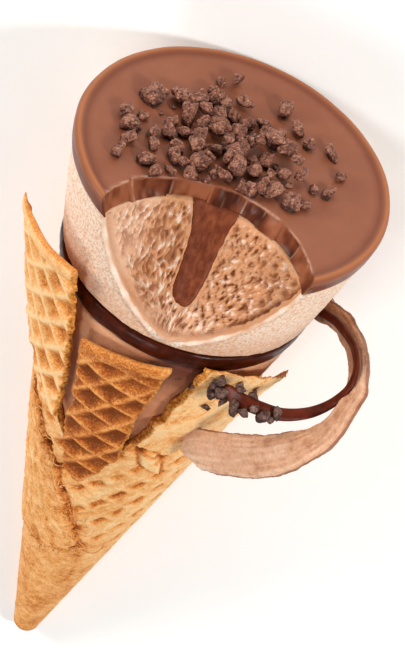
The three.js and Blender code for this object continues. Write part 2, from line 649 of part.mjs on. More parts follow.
// The origin is on the ground, under the middle of the whole.
const cone = new THREE.Group();
cone.add(laid);
cone.updateMatrixWorld(true);
const middle = new THREE.Box3().setFromObject(cone, true).getCenter(new THREE.Vector3());
cone.position.set(-middle.x, -middle.y, 0);

export default cone;
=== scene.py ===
"""A filled ice cream cone, lying on its side with its bitten front up.

Shapes are worked out in the cone's own frame, in millimetres: the tip is at the origin, the axis
runs up +Z to the glaze, the front is -Y, and an azimuth turns from the front towards +X. laid()
takes them to the ground's frame, in metres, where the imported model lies.

Sizes and depths of the relief are in mm too, and azimuths in degrees. Each call of a noise function
is given a seed, so nothing changes from run to run. Marks are values kept at a mesh's points, mostly
from 0 to 1, that a look reads to choose between its colours.
"""
import math

import bpy
import numpy as np
from mathutils import Matrix, Vector
from mathutils.geometry import delaunay_2d_cdt
from mathutils.kdtree import KDTree


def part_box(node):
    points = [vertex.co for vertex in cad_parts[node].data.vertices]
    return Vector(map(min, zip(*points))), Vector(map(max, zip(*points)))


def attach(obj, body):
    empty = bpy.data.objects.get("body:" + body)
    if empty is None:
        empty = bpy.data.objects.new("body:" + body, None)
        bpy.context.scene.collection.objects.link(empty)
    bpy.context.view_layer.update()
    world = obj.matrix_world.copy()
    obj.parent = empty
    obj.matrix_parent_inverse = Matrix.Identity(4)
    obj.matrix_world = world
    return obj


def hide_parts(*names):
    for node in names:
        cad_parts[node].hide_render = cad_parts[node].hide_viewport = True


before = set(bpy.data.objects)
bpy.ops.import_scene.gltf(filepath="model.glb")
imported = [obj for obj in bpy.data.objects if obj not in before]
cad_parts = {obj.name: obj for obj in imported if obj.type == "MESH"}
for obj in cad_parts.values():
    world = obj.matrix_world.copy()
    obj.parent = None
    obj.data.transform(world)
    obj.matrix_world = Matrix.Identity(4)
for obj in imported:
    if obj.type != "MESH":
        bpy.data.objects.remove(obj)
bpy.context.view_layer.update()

# ---- the cone's dimensions, in millimetres and degrees ----

FACE_HEIGHT = 161.5
FACE_RADIUS = 31.45
HALF_ANGLE = math.radians(10.863)
APEX_DEPTH = 13.8
WAFER = 1.6
EDGE_ROWS = 5  # of points across the thickness of a broken edge
SHEET_LOW = 3.0  # where the wafer's sheet ends and its rounded tip begins
HOLLOW_LOW = 14.0  # the floor of the wafer's inside
GAP = 0.3
GLAZE_DEPTH = 4.2
PUCK_DEPTH = 26.9
SAUCE_DEPTH = 31.7
FILLING_INSET = 1.9
FLAT = 0.55

BITE_AZIMUTH = math.radians(5)
BITE_CENTRE = 27.5
BITE_HALF_WIDTH = 20.6
BITE_REACH = 18.8
BITE_DEPTH = 26.3

TAPER = math.tan(HALF_ANGLE)
SIN, COS = math.sin(HALF_ANGLE), math.cos(HALF_ANGLE)
PUCK_BOTTOM = FACE_HEIGHT - PUCK_DEPTH
PUCK_TOP = FACE_HEIGHT - GLAZE_DEPTH - GAP
PUCK_BEND = 148  # where the light ice cream's side leaves the cone's slope and leans out
PUCK_TOP_RADIUS = FACE_RADIUS - 0.9
LOWER_LOW = 18  # how far down the lower ice cream reaches
SUNK = 0.3  # the middle of the glaze's face below its rim
SAUCE_BOTTOM = FACE_HEIGHT - SAUCE_DEPTH

# Where the cone lies on the ground: the axis across, the tip along, and the slopes' meeting point up.
AXIS_X = 500 * sum(corner.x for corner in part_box("sauce_layer"))
TIP_Y = 82.398
APEX_Z = APEX_DEPTH * SIN - FLAT
MM = 0.001
FRONT = 125  # the azimuth up to which the round meshes are fine


def laid(points):
    """Points of the cone's frame, in mm, on the ground, in metres."""
    x, y, h = points.T
    return np.stack([AXIS_X - x, TIP_Y - SIN * y - COS * h, APEX_Z - COS * y + SIN * h], 1) * MM


# ---- numbers: noise, cells, outlines ----

def smooth(t):
    """From 0 to 1 with soft ends, as t goes from 0 to 1."""
    t = np.clip(t, 0, 1)
    return t * t * (3 - 2 * t)


def lerp(a, b, t):
    return a + (b - a) * t


def bell(away, width):
    """1 where `away` is 0, falling off over `width` on both sides."""
    return np.exp(-(away / width) ** 2)


def from_table(table, x):
    """The value at x from a table of [x, value]."""
    return np.interp(x, *np.array(table).T)


def chance(index, channel):
    """A repeatable value from 0 to 1 for each whole number and channel."""
    x = np.sin(np.asarray(index) * 12.9898 + channel * 78.233 + 1.7) * 43758.5453
    return x - np.floor(x)


def hashed(place, seed):
    """A repeatable value from 0 to 1 for each whole-number place in space."""
    i = place.astype(np.int64).astype(np.uint32)
    with np.errstate(over="ignore"):
        n = i[..., 0] * np.uint32(0x8DA6B343) ^ i[..., 1] * np.uint32(0xD8163841)
        n = n ^ i[..., 2] * np.uint32(0xCB1AB31F)
        n = n + np.uint32((seed * 0x9E3779B9) & 0xFFFFFFFF)
        n = (n ^ (n >> np.uint32(16))) * np.uint32(0x7FEB352D)
        n = (n ^ (n >> np.uint32(15))) * np.uint32(0x846CA68B)
    return (n ^ (n >> np.uint32(16))) / 4294967296.0


CORNERS = np.array([(i, j, k) for i in (0, 1) for j in (0, 1) for k in (0, 1)])
AROUND = np.array([(i, j, k) for i in (-1, 0, 1) for j in (-1, 0, 1) for k in (-1, 0, 1)])


def noise(points, size, seed):
    """Smooth noise from -1 to 1, with lumps of about `size` (one number, or one for each axis)."""
    place = points / np.asarray(size, float)
    low = np.floor(place)
    t = place - low
    t = t * t * (3 - 2 * t)
    total = np.zeros(len(points))
    for corner in CORNERS:
        weight = np.prod(np.where(corner == 1, t, 1 - t), axis=1)
        total += weight * hashed(low + corner, seed)
    return 2 * total - 1


def fractal(points, size, octaves, seed, gain=0.5, step=17, shape=lambda n: n):
    """Noise with finer and finer lumps, each octave weaker by `gain`."""
    size = np.asarray(size, float)
    total, weight, sum_weights = np.zeros(len(points)), 1.0, 0.0
    for octave in range(octaves):
        total += weight * shape(noise(points, size / 2.03 ** octave, seed + step * octave))
        sum_weights += weight
        weight *= gain
    return total / sum_weights


def ridged(points, size, octaves, seed):
    """Noise from 0 to 1 with sharp crests."""
    return fractal(points, size, octaves, seed, step=31, shape=lambda n: 1 - np.abs(n))


def cells(points, size, seed):
    """The distance to the nearest of scattered points, in cells, and that point's own value."""
    place = points / np.asarray(size, float)
    low = np.floor(place)
    nearest = np.full(len(points), 9.0)
    own = np.zeros(len(points))
    for step in AROUND:
        corner = low + step
        spot = corner + np.stack([hashed(corner, seed + k) for k in (1, 2, 3)], 1)
        distance = np.sqrt(((place - spot) ** 2).sum(1))
        closer = distance < nearest
        nearest[closer] = distance[closer]
        own[closer] = hashed(corner[closer], seed + 4)
    return nearest, own


def resampled(corners, step, closed=False):
    """Points along straight lines between corners, about `step` apart, with the corners kept."""
    corners = np.asarray(corners, float)
    if closed:
        corners = np.vstack([corners, corners[:1]])
    out = []
    for a, b in zip(corners[:-1], corners[1:]):
        count = max(1, round(float(np.linalg.norm(b - a)) / step))
        out.append(a + (b - a) * (np.arange(count) / count)[:, None])
    if not closed:
        out.append(corners[-1:])
    return np.vstack(out)


def to_line(points, corners, closed=False):
    """Each point's distance to a line of corners, and which side it lies on: 1 left, -1 right."""
    corners = np.asarray(corners, float)
    ends = np.roll(corners, -1, axis=0) if closed else corners[1:]
    nearest, side = np.full(len(points), 1e9), np.ones(len(points))
    for a, b in zip(corners, ends):
        along = b - a
        t = np.clip(((points - a) @ along) / (along @ along), 0, 1)
        away = points - (a + t[:, None] * along)
        distance = np.hypot(*away.T)
        closer = distance < nearest
        nearest[closer] = distance[closer]
        side[closer] = np.sign(along[0] * away[closer, 1] - along[1] * away[closer, 0])
    return nearest, side


def inside(points, corners):
    """Whether each point lies inside a closed outline."""
    x, y = points.T
    odd = np.zeros(len(points), bool)
    for (ax, ay), (bx, by) in zip(corners, np.roll(corners, -1, axis=0)):
        crosses = (ay > y) != (by > y)
        with np.errstate(divide="ignore", invalid="ignore"):
            odd ^= crosses & (x < (bx - ax) * (y - ay) / (by - ay) + ax)
    return odd


def inward(points, corners):
    """The distance to a closed outline, positive inside it."""
    distance, _ = to_line(points, corners, closed=True)
    return np.where(inside(points, corners), distance, -distance)


def on_sheet(flat, depth=0.0):
    """Places in space for noise on the flat."""
    return np.column_stack([flat, np.full(len(flat), depth)])


# ---- meshes as arrays: points (N, 3) and triangles (M, 3) ----

def grid_faces(rows, columns, wrap=False):
    k = np.arange(rows - 1)[:, None] * columns
    j = np.arange(columns if wrap else columns - 1)[None, :]
    a, b = k + j, k + (j + 1) % columns
    c, d = a + columns, b + columns
    first = np.stack([a, b, d], -1).reshape(-1, 3)
    second = np.stack([a, d, c], -1).reshape(-1, 3)
    return np.vstack([first, second])


def fan(start, count, middle):
    """Triangles from a ring of points to its middle."""
    j = np.arange(count)
    return np.stack([start + (j + 1) % count, start + j, np.full(count, middle)], 1)


def capped(rings):
    """A closed mesh from rings (R, N, 3), with each end closed to its middle."""
    rows, count, _ = rings.shape
    points = rings.reshape(-1, 3)
    low = fan(0, count, rows * count)
    high = fan((rows - 1) * count, count, rows * count + 1)[:, [1, 0, 2]]
    faces = np.vstack([grid_faces(rows, count, wrap=True), low, high])
    return outwards(np.vstack([points, rings[0].mean(0), rings[-1].mean(0)]), faces)


def outwards(points, faces):
    """A closed mesh with its triangles facing out."""
    a, b, c = points[faces].transpose(1, 0, 2)
    volume = (a * np.cross(b, c)).sum()
    return points, faces if volume > 0 else faces[:, ::-1]


def normals(points, faces):
    a, b, c = points[faces].transpose(1, 0, 2)
    flat = np.cross(b - a, c - a)
    total = np.stack([
        sum(np.bincount(faces[:, k], flat[:, axis], len(points)) for k in range(3))
        for axis in range(3)
    ], 1)
    return total / np.maximum(np.linalg.norm(total, axis=1, keepdims=True), 1e-12)


def relaxed(points, faces, weight, rounds):
    """Each point drawn towards the middle of its neighbours, by its own weight."""
    pairs = np.vstack([faces[:, [0, 1]], faces[:, [1, 2]], faces[:, [2, 0]]])
    pairs = np.unique(np.vstack([pairs, pairs[:, ::-1]]), axis=0)
    count = np.bincount(pairs[:, 0], minlength=len(points))
    for _ in range(rounds):
        mean = np.stack([
            np.bincount(pairs[:, 0], points[pairs[:, 1], axis], len(points)) for axis in range(3)
        ], 1) / np.maximum(count, 1)[:, None]
        points = points + weight[:, None] * (mean - points)
    return points


def merged(points, faces, marks, within):
    """The mesh with points that lie on each other made one."""
    key = np.round(points / within).astype(np.int64)
    _, first, back = np.unique(key, axis=0, return_index=True, return_inverse=True)
    faces = back.reshape(-1)[faces]
    whole = (faces[:, 0] != faces[:, 1]) & (faces[:, 1] != faces[:, 2]) & (faces[:, 2] != faces[:, 0])
    marks = {name: values[first] for name, values in marks.items()}
    return points[first], faces[whole], marks


def joined(meshes):
    """Several (points, faces, marks) as one; a mark may be one number, and is 0 where left out."""
    points, faces, start = [], [], 0
    for mesh in meshes:
        points.append(mesh[0])
        faces.append(mesh[1] + start)
        start += len(mesh[0])
    marks = {
        name: np.concatenate([
            np.broadcast_to(mesh[2].get(name, 0.0), len(mesh[0])) for mesh in meshes
        ]) for name in meshes[0][2]
    }
    return np.vstack(points), np.vstack(faces), marks


def sewn(meshes):
    """Several (points, faces, marks) as one, sewn together where their edges meet."""
    return merged(*joined(meshes), within=1e-3)


def to_mesh(name, points, faces):
    mesh = bpy.data.meshes.new(name)
    mesh.vertices.add(len(points))
    mesh.vertices.foreach_set("co", points.astype(np.float32).ravel())
    mesh.loops.add(faces.size)
    mesh.loops.foreach_set("vertex_index", faces.astype(np.int32).ravel())
    mesh.polygons.add(len(faces))
    mesh.polygons.foreach_set("loop_start", np.arange(0, faces.size, 3, dtype=np.int32))
    mesh.update(calc_edges=True)
    return mesh


def cut(body, tool):
    """A closed mesh with another cut away from it."""
    objects = []
    for part, (points, faces) in (("body", body), ("tool", tool)):
        objects.append(bpy.data.objects.new(part, to_mesh(part, points, faces)))
        bpy.context.scene.collection.objects.link(objects[-1])
    change = objects[0].modifiers.new("cut", "BOOLEAN")
    change.operation, change.solver, change.object = "DIFFERENCE", "MANIFOLD", objects[1]
    graph = bpy.context.evaluated_depsgraph_get()
    mesh = bpy.data.meshes.new_from_object(objects[0].evaluated_get(graph))
    mesh.calc_loop_triangles()
    points = np.zeros(len(mesh.vertices) * 3)
    mesh.vertices.foreach_get("co", points)
    faces = np.zeros(len(mesh.loop_triangles) * 3, np.int32)
    mesh.loop_triangles.foreach_get("vertices", faces)
    for thing in objects:
        bpy.data.objects.remove(thing)
    bpy.data.meshes.remove(mesh)
    return points.reshape(-1, 3), faces.reshape(-1, 3)


def make_piece(name, points, faces, look, nodes, slot, marks, crease=None):
    """A piece of the scene from a mesh in the cone's frame, with nothing of it below the ground."""
    place = laid(points)
    place[:, 2] = np.maximum(place[:, 2], 0)
    mesh = to_mesh(name, place, faces)
    for mark, values in marks.items():
        attribute = mesh.attributes.new(mark, "FLOAT", "POINT")
        values = np.broadcast_to(values, len(points)).astype(np.float32)
        attribute.data.foreach_set("value", values)
    mesh.polygons.foreach_set("use_smooth", np.ones(len(faces), bool))
    if crease:
        mesh.set_sharp_from_angle(angle=math.radians(crease))
    mesh.validate()
    mesh.materials.append(look)
    piece = bpy.data.objects.new(name, mesh)
    bpy.context.scene.collection.objects.link(piece)
    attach(piece, "root")
    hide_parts(*nodes)


# ---- the cone's own surfaces ----

def wafer_radius(height):
    return (height + APEX_DEPTH) * TAPER


def filling_radius(height):
    return wafer_radius(height) - FILLING_INSET


def at(azimuth, radius, height):
    """Points of the cone's frame from azimuth, distance from the axis and height."""
    a = np.radians(azimuth)
    return np.stack(np.broadcast_arrays(radius * np.sin(a), -radius * np.cos(a), height), -1)


def unrolled(azimuth, height):
    """The cone's side rolled out flat: across and up, in mm."""
    slant = (np.asarray(height) + APEX_DEPTH) / COS
    turn = np.radians(azimuth) * SIN
    return np.stack([slant * np.sin(turn), slant * np.cos(turn)], -1)


def flat_corners(corners):
    """[azimuth, height] corners on the rolled-out side."""
    return unrolled(*np.array(corners, float).T)


def rolled(flat):
    """Azimuth and height of points on the rolled-out side."""
    azimuth = np.degrees(np.arctan2(flat[:, 0], flat[:, 1])) / SIN
    return azimuth, np.hypot(*flat.T) * COS - APEX_DEPTH


def lathe(profile, turns):
    """A closed round mesh from [radius, height] pairs."""
    return capped(np.stack([at(turns, radius, height) for radius, height in profile]))


def azimuths(front_step, back_step):
    """Azimuths round the cone, closer together in front."""
    near = np.arange(-FRONT, FRONT, front_step)
    return np.concatenate([near, np.arange(FRONT, 360 - FRONT, back_step)])


def spaced(corners, step):
    """A profile with points about `step` apart."""
    return [tuple(p) for p in resampled(corners, step)]


# ---- looks ----

def srgb(code):
    """A hex colour in linear light."""
    parts = [int(code[i:i + 2], 16) / 255 for i in (0, 2, 4)]
    return [p / 12.92 if p <= 0.04045 else ((p + 0.055) / 1.055) ** 2.4 for p in parts] + [1]


COLOUR_INPUTS, COLOUR_RESULT = (6, 7), 2  # the Mix node's sockets for colours


class Look:
    """A procedural material, put together from a few kinds of node."""

    def __init__(self, name, **constants):
        self.material = bpy.data.materials.new(name)
        self.material.use_nodes = True
        self.tree = self.material.node_tree
        self.shader = self.tree.nodes["Principled BSDF"]
        self.place = self.add("ShaderNodeTexCoord").outputs["Object"]
        for socket, value in constants.items():
            self.shader.inputs[socket.replace("_", " ")].default_value = value

    def add(self, kind, **values):
        node = self.tree.nodes.new(kind)
        for key, value in values.items():
            setattr(node, key, value)
        return node

    def wire(self, value, socket):
        """Link a node's output, or set a number or a hex colour."""
        value = srgb(value) if isinstance(value, str) else value
        if isinstance(value, bpy.types.NodeSocket):
            self.tree.links.new(value, socket)
        else:
            socket.default_value = value

    def noise(self, size, detail=3, roughness=0.5, stretch=None):
        """Noise with lumps of about `size` mm."""
        node = self.add("ShaderNodeTexNoise")
        place = self.place
        if stretch:
            mapping = self.add("ShaderNodeMapping")
            mapping.inputs["Scale"].default_value = stretch
            self.wire(place, mapping.inputs["Vector"])
            place = mapping.outputs["Vector"]
        self.wire(place, node.inputs["Vector"])
        self.wire(1000 / size, node.inputs["Scale"])
        self.wire(detail, node.inputs["Detail"])
        self.wire(roughness, node.inputs["Roughness"])
        return node.outputs["Fac"]

    def cells(self, size):
        node = self.add("ShaderNodeTexVoronoi")
        self.wire(self.place, node.inputs["Vector"])
        self.wire(1000 / size, node.inputs["Scale"])
        return node.outputs["Distance"]

    def mark(self, name):
        return self.add("ShaderNodeAttribute", attribute_name=name).outputs["Fac"]

    def ramp(self, value, stops):
        node = self.add("ShaderNodeValToRGB")
        self.wire(value, node.inputs["Fac"])
        elements = node.color_ramp.elements
        while len(elements) < len(stops):
            elements.new(0.5)
        for element, (position, colour) in zip(elements, stops):
            element.position = position
            element.color = srgb(colour) if isinstance(colour, str) else (colour,) * 3 + (1,)
        return node.outputs["Color"]

    def between(self, value, low, high):
        """From one number or colour to another over the middle of noise."""
        return self.ramp(value, [(0.3, low), (0.7, high)])

    def math(self, operation, a, b=0.0, c=0.0):
        node = self.add("ShaderNodeMath", operation=operation)
        for value, socket in zip((a, b, c), node.inputs):
            self.wire(value, socket)
        return node.outputs["Value"]

    def mix(self, amount, a, b):
        node = self.add("ShaderNodeMix", data_type="RGBA")
        self.wire(amount, node.inputs["Factor"])
        for value, socket in zip((a, b), COLOUR_INPUTS):
            self.wire(value, node.inputs[socket])
        return node.outputs[COLOUR_RESULT]

    def bump(self, height, depth, before=None):
        """Relief of `depth` mm."""
        node = self.add("ShaderNodeBump")
        self.wire(height, node.inputs["Height"])
        self.wire(depth * MM, node.inputs["Distance"])
        if before is not None:
            self.wire(before, node.inputs["Normal"])
        return node.outputs["Normal"]

    def finish(self, colour, roughness, normal):
        self.wire(colour, self.shader.inputs["Base Color"])
        self.wire(roughness, self.shader.inputs["Roughness"])
        self.wire(normal, self.shader.inputs["Normal"])
        return self.material


SOFT_LIGHT = {"Subsurface_Radius": (1.0, 0.5, 0.3), "Subsurface_Scale": 0.0003}


def wafer_look():
    look = Look("Wafer", Subsurface_Weight=0.12, Specular_IOR_Level=0.2, **SOFT_LIGHT)
    grain = look.noise(0.45, 4, 0.7)
    patches = look.noise(5, 3)
    # The bake mark holds the baked colour, and also painted shade in pits and along edges and painted
    # highlights on ridges.
    bake_and_painted_light = look.math("ADD", look.mark("bake_and_painted_light"), look.math("MULTIPLY_ADD", patches, 0.5, -0.25))
    bake_and_painted_light = look.math("ADD", bake_and_painted_light, look.math("MULTIPLY_ADD", grain, 1.2, -0.6))
    colour = look.ramp(bake_and_painted_light, [
        (0.0, "FFD39A"), (0.22, "F8B770"), (0.46, "E49448"), (0.72, "B6601E"), (1.0, "7F3C0A"),
    ])
    sugar = look.ramp(look.noise(0.38, 2, 0.6), [(0.62, 0.0), (0.72, 0.25)])
    colour = look.mix(sugar, colour, "FFE9C2")
    crumb = look.ramp(look.noise(0.6, 5, 0.75), [(0.36, "843B0A"), (0.5, "D4842D"), (0.64, "F4B866")])
    colour = look.mix(look.mark("crumb"), colour, crumb)
    fine = look.bump(look.noise(0.3, 4, 0.75), 0.2)
    coarse = look.bump(look.noise(1.1, 4, 0.65), 0.25, fine)
    return look.finish(colour, look.between(grain, 0.5, 0.75), coarse)


def ice_cream_look(name, stops, lighter, painted_shade_and_dark_colour, pore_size, depth):
    """Ice cream from dark to light `stops`, with pores of `pore_size` mm, `depth` mm deep."""
    look = Look(name, Subsurface_Weight=0.15, Specular_IOR_Level=0.25, **SOFT_LIGHT)
    base = look.ramp(look.noise(2.2, 5, 0.65), stops[:2] + [(0.8, lighter)])
    pores = look.ramp(look.noise(pore_size, 3, 0.65), [(0.38, 0.85), (0.56, 0.0)])
    amount = look.math("MULTIPLY", pores, look.mark("pores"))
    # The light mark mixes in the lightest colour: painted light and highlights in places, and paler ice
    # cream elsewhere.
    colour = look.mix(look.mark("light"), base, stops[-1][1])
    colour = look.mix(amount, colour, stops[0][1])
    # The deep mark mixes in a darker colour: painted shade in places, and darker tone elsewhere.
    colour = look.mix(look.mark("deep"), colour, painted_shade_and_dark_colour)
    fine = look.bump(look.noise(0.35, 3, 0.7), 0.1)
    coarse = look.bump(look.noise(pore_size, 3, 0.65), depth, fine)
    return look.finish(colour, look.between(look.noise(1.5, 2), 0.45, 0.65), coarse)


def glaze_look():
    look = Look("Glaze", Subsurface_Weight=0.06, Specular_IOR_Level=0.17, **SOFT_LIGHT)
    base = look.between(look.noise(9, 4, 0.55), "874E37", "92583F")
    specks = look.ramp(look.cells(1.6), [(0.05, 1.0), (0.09, 0.0)])
    gate = look.ramp(look.noise(6, 2), [(0.55, 0.0), (0.65, 1.0)])
    colour = look.mix(look.math("MULTIPLY", specks, gate), base, "6E3C2C")
    # Each broken chip gets a tone, partly its own and partly painted light and shade, as if some faced
    # the light and some faced away.
    tone_and_painted_shading = look.math("MULTIPLY_ADD", look.noise(2.5, 3), 0.3, look.mark("tone_and_painted_shading"))
    broken = look.ramp(tone_and_painted_shading, [(0.1, "441C0D"), (0.5, "6A341E"), (1.0, "96583B")])
    colour = look.mix(look.mark("broken"), colour, broken)
    # The band mark paints shade inside the rim's lip and darkens the side below the rim; the rim mark
    # paints a highlight along the rim; the edge mark paints highlights along the broken top edge and
    # where the chips meet.
    colour = look.mix(look.mark("band"), colour, "602C1A")
    colour = look.mix(look.mark("rim"), colour, "BC7440")
    colour = look.mix(look.mark("edge"), colour, "DDB096")
    roughness = look.between(look.noise(3, 3), 0.3, 0.4)
    return look.finish(colour, roughness, look.bump(look.noise(2.8, 3), 0.03))


def sauce_look(name, stops, roughness):
    look = Look(name, Coat_Weight=0.03, Coat_Roughness=0.12, Specular_IOR_Level=0.1)
    colour = look.ramp(look.noise(2.5, 4, 0.6), stops)
    colour = look.mix(look.mark("thin"), colour, "7A3A22")
    rough = look.between(look.noise(1.4, 3), roughness * 0.8, roughness * 1.3)
    return look.finish(colour, rough, look.bump(look.noise(1.1, 3), 0.04))


def core_look():
    look = Look("SauceCore", Subsurface_Weight=0.1, Specular_IOR_Level=0.22, **SOFT_LIGHT)
    streaks = look.noise(0.9, 4, 0.6, stretch=(1, 0.25, 1))
    colour = look.ramp(streaks, [(0.3, "5A240D"), (0.52, "723418"), (0.75, "8C4A2A")])
    return look.finish(colour, look.between(streaks, 0.42, 0.6), look.bump(streaks, 0.06))


def brownie_look(name, stops, painted_light_on_top):
    look = Look(name, Specular_IOR_Level=0.35)
    colour = look.ramp(look.noise(0.5, 5, 0.7), stops)
    # Painted light on the sides of each bit that are turned up.
    colour = look.mix(look.mark("painted_light_on_top"), colour, painted_light_on_top)
    holes = look.ramp(look.cells(0.5), [(0.14, 1.0), (0.3, 0.0)])
    specks = look.ramp(look.noise(0.28, 3, 0.7), [(0.40, 1.0), (0.50, 0.0)])
    colour = look.mix(look.math("MULTIPLY", specks, 0.45), colour, "3A160D")
    colour = look.mix(look.math("MULTIPLY", holes, 0.75), colour, "210B06")
    # The pore mark darkens the pores and crevices and paints shade on each bit's underside.
    colour = look.mix(look.mark("pore"), colour, "250E0A")
    pitted = look.bump(look.cells(0.5), 0.28)
    normal = look.bump(look.noise(0.3, 3, 0.7), 0.12, pitted)
    return look.finish(colour, look.between(look.noise(0.8, 3), 0.45, 0.8), normal)


# ---- sheets of wafer ----

def triangles_within(outline, points):
    """Triangles that fill a closed outline, through its points and the points inside it."""
    flat = np.vstack([outline, points])
    corners = [Vector(p) for p in flat]
    count = len(outline)
    edges = [(i, (i + 1) % count) for i in range(count)]
    _, _, faces, sources, _, _ = delaunay_2d_cdt(corners, edges, [], 1, 1e-6)
    first = np.array([source[0] if source else -1 for source in sources])
    faces = first[np.array(faces)]
    faces = faces[(faces >= 0).all(1)]
    a, b, c = flat[faces].transpose(1, 0, 2)
    flipped = np.cross(b - a, c - a) < 0
    faces[flipped] = faces[flipped][:, ::-1]
    return faces


def everywhere(points):
    return np.ones(len(points), bool)


def grid_within(outline, spacing, keep=everywhere):
    """Points of a triangular grid inside an outline, clear of its edge."""
    low, high = outline.min(0), outline.max(0)
    rows = np.arange(low[1], high[1], spacing * 0.866)
    columns = np.arange(low[0], high[0], spacing)
    x, y = np.meshgrid(columns, rows)
    x = x + (np.arange(len(rows)) % 2)[:, None] * spacing / 2
    points = np.stack([x.ravel(), y.ravel()], 1)
    points = points[keep(points)]
    return points[inward(points, outline) > spacing * 0.45]


def jagged(line, amount, size, seed, keep_ends=True):
    """A line of points on the flat, each moved off the line by noise of up to `amount`."""
    ahead = np.gradient(line, axis=0)
    ahead /= np.maximum(np.linalg.norm(ahead, axis=1, keepdims=True), 1e-9)
    off = fractal(on_sheet(line), size, 3, seed) * amount
    if keep_ends:
        off[[0, -1]] = 0
    return line + np.stack([-ahead[:, 1], ahead[:, 0]], 1) * off[:, None]


def broken_edge(outside, inside_edge, seed, depth, bulge=0.0):
    """Rows of points from a sheet's outer edge to its inner one, porous like a baked crumb; `depth`
    and `bulge` may be given for each point of the edge."""
    layers = []
    ahead = np.roll(outside, -1, axis=0) - np.roll(outside, 1, axis=0)
    through = inside_edge - outside
    out = np.cross(ahead, through)
    out /= np.maximum(np.linalg.norm(out, axis=1, keepdims=True), 1e-9)
    for k in range(1, EDGE_ROWS + 1):
        t = k / (EDGE_ROWS + 1)
        layer = outside + through * t
        pits = fractal(layer, 0.9, 3, seed) + 0.8 * noise(layer, 0.45, seed + 5)
        off = (pits + 0.25) * depth - bulge * math.sin(math.pi * t)
        layers.append(layer + out * off[:, None])
    return np.stack([outside, *layers, inside_edge])


def waffle(flat, origin, along, across):
    """Where each point lies in its cell of a waffle: mm along and across from the cell's middle,
    mm to the nearest ridge, and the cell itself."""
    basis = np.array([along, across], float).T
    place = (flat - np.asarray(origin)) @ np.linalg.inv(basis).T
    cell = np.round(place)
    local = place - cell
    lengths = np.array([math.hypot(*along), math.hypot(*across)])
    lean = abs(along[0] * across[1] - along[1] * across[0]) / (lengths[0] * lengths[1])
    to_ridge = (0.5 - np.abs(local)) * lengths * lean
    return local * lengths, to_ridge, cell


def streaked(flat, direction, size, seed, octaves=3):
    """Noise on the rolled-out sheet that is drawn out along a direction."""
    ahead = np.asarray(direction, float) / math.hypot(*direction)
    turned_flat = flat @ np.array([ahead, [-ahead[1], ahead[0]]]).T
    return fractal(on_sheet(turned_flat, 0.7), size, octaves, seed)


def flakes(flat, direction, size, steps, seed):
    """Thin layers with ragged edges, as a relief from 0 to 1."""
    level = (streaked(flat, direction, size, seed, 4) + 1) * 0.5 * steps
    return (np.floor(level) + smooth((level - np.floor(level)) / 0.18)) / steps


# The waffles on the rolled-out side: a cell's middle, and the steps to the next cells, in mm.
CONE_CELLS = {"origin": (5.12, 100.46), "along": (3.362, 4.915), "across": (5.291, -3.227)}
LEFT_CELLS = {"origin": (-20.99, 150.52), "along": (3.056, 4.61), "across": (3.915, -4.178)}
FRONT_CELLS = {"origin": (-8.734, 133.803), "along": (3.243, 5.689), "across": (5.497, -0.887)}

# Azimuth and height of each corner: the broken edge, the roll's seam, a faint line, and the flap and
# the wedge of the outer layer.
BREAK = [
    (-180, 137.5), (-150, 137), (-132, 133), (-118, 127), (-100, 115), (-84, 107), (-68, 102.5),
    (-50, 99), (-38, 95.5), (-27, 90.5), (-12, 84.5), (-4, 85.5), (4, 91), (11, 97), (15, 102),
    (17.5, 106), (18, 109.5), (20.5, 112), (21, 117), (23, 120), (24.5, 124.5), (25, 132.6),
    (31, 132.9), (39, 131.6), (48, 130.2), (58, 128.2), (73, 123.8), (77, 122), (83, 113),
    (92, 108.5), (122, 110), (136, 123), (150, 136), (180, 137.5),
]
SEAM_LINE = [
    (-66, 92), (-54, 88.5), (-45, 84.5), (-37, 82), (-27, 78), (-19, 74), (-12, 69.5), (-5, 65.5),
    (1, 61.5), (8, 56.5), (14, 53.5), (15.5, 51.5), (11, 49.5), (0, 47.5), (-15, 46.2), (-30, 45.2),
    (-50, 44.5), (-75, 44.5),
]
FAINT_LINE = [(13, 51), (20, 48), (25, 44.5), (28.5, 40), (30.5, 35), (27, 31)]
FLAP = [
    (9.2, 95.6), (11.4, 98.3), (14, 100.2), (19.5, 98.4), (26.9, 97.2), (33.6, 97.6), (39, 98.6),
    (46, 101.5), (58, 104), (72, 107), (90, 107), (90, 130), (60, 136), (20, 136), (16, 116),
    (10, 103),
]
WEDGE = [
    (18, 98.6), (20, 95.5), (22, 93.2), (30, 90.6), (38.9, 88.4), (35.5, 92.2), (33, 95.2), (27, 98),
]
THREADS = 80  # of batter along the seam
# Where the wafer stands out from its cone, by up to `out` mm.
FLARE = {"azimuth": 73, "spread": 44, "from": 112, "over": 20.6, "out": 2}
FOLD = {"azimuth": -80, "spread": 45, "low": 45, "high": 112, "out": 0.7}


def flare_at(azimuth, height):
    turn = np.abs((azimuth - FLARE["azimuth"] + 180) % 360 - 180)
    rise = smooth((height - FLARE["from"]) / FLARE["over"])
    return FLARE["out"] * rise * smooth(1 - turn / FLARE["spread"])


def fold_at(azimuth, height):
    around = smooth(1 - np.abs(azimuth - FOLD["azimuth"]) / FOLD["spread"])
    rise = smooth((height - FOLD["low"]) / 25) * smooth((FOLD["high"] - height) / 10)
    return FOLD["out"] * around * rise


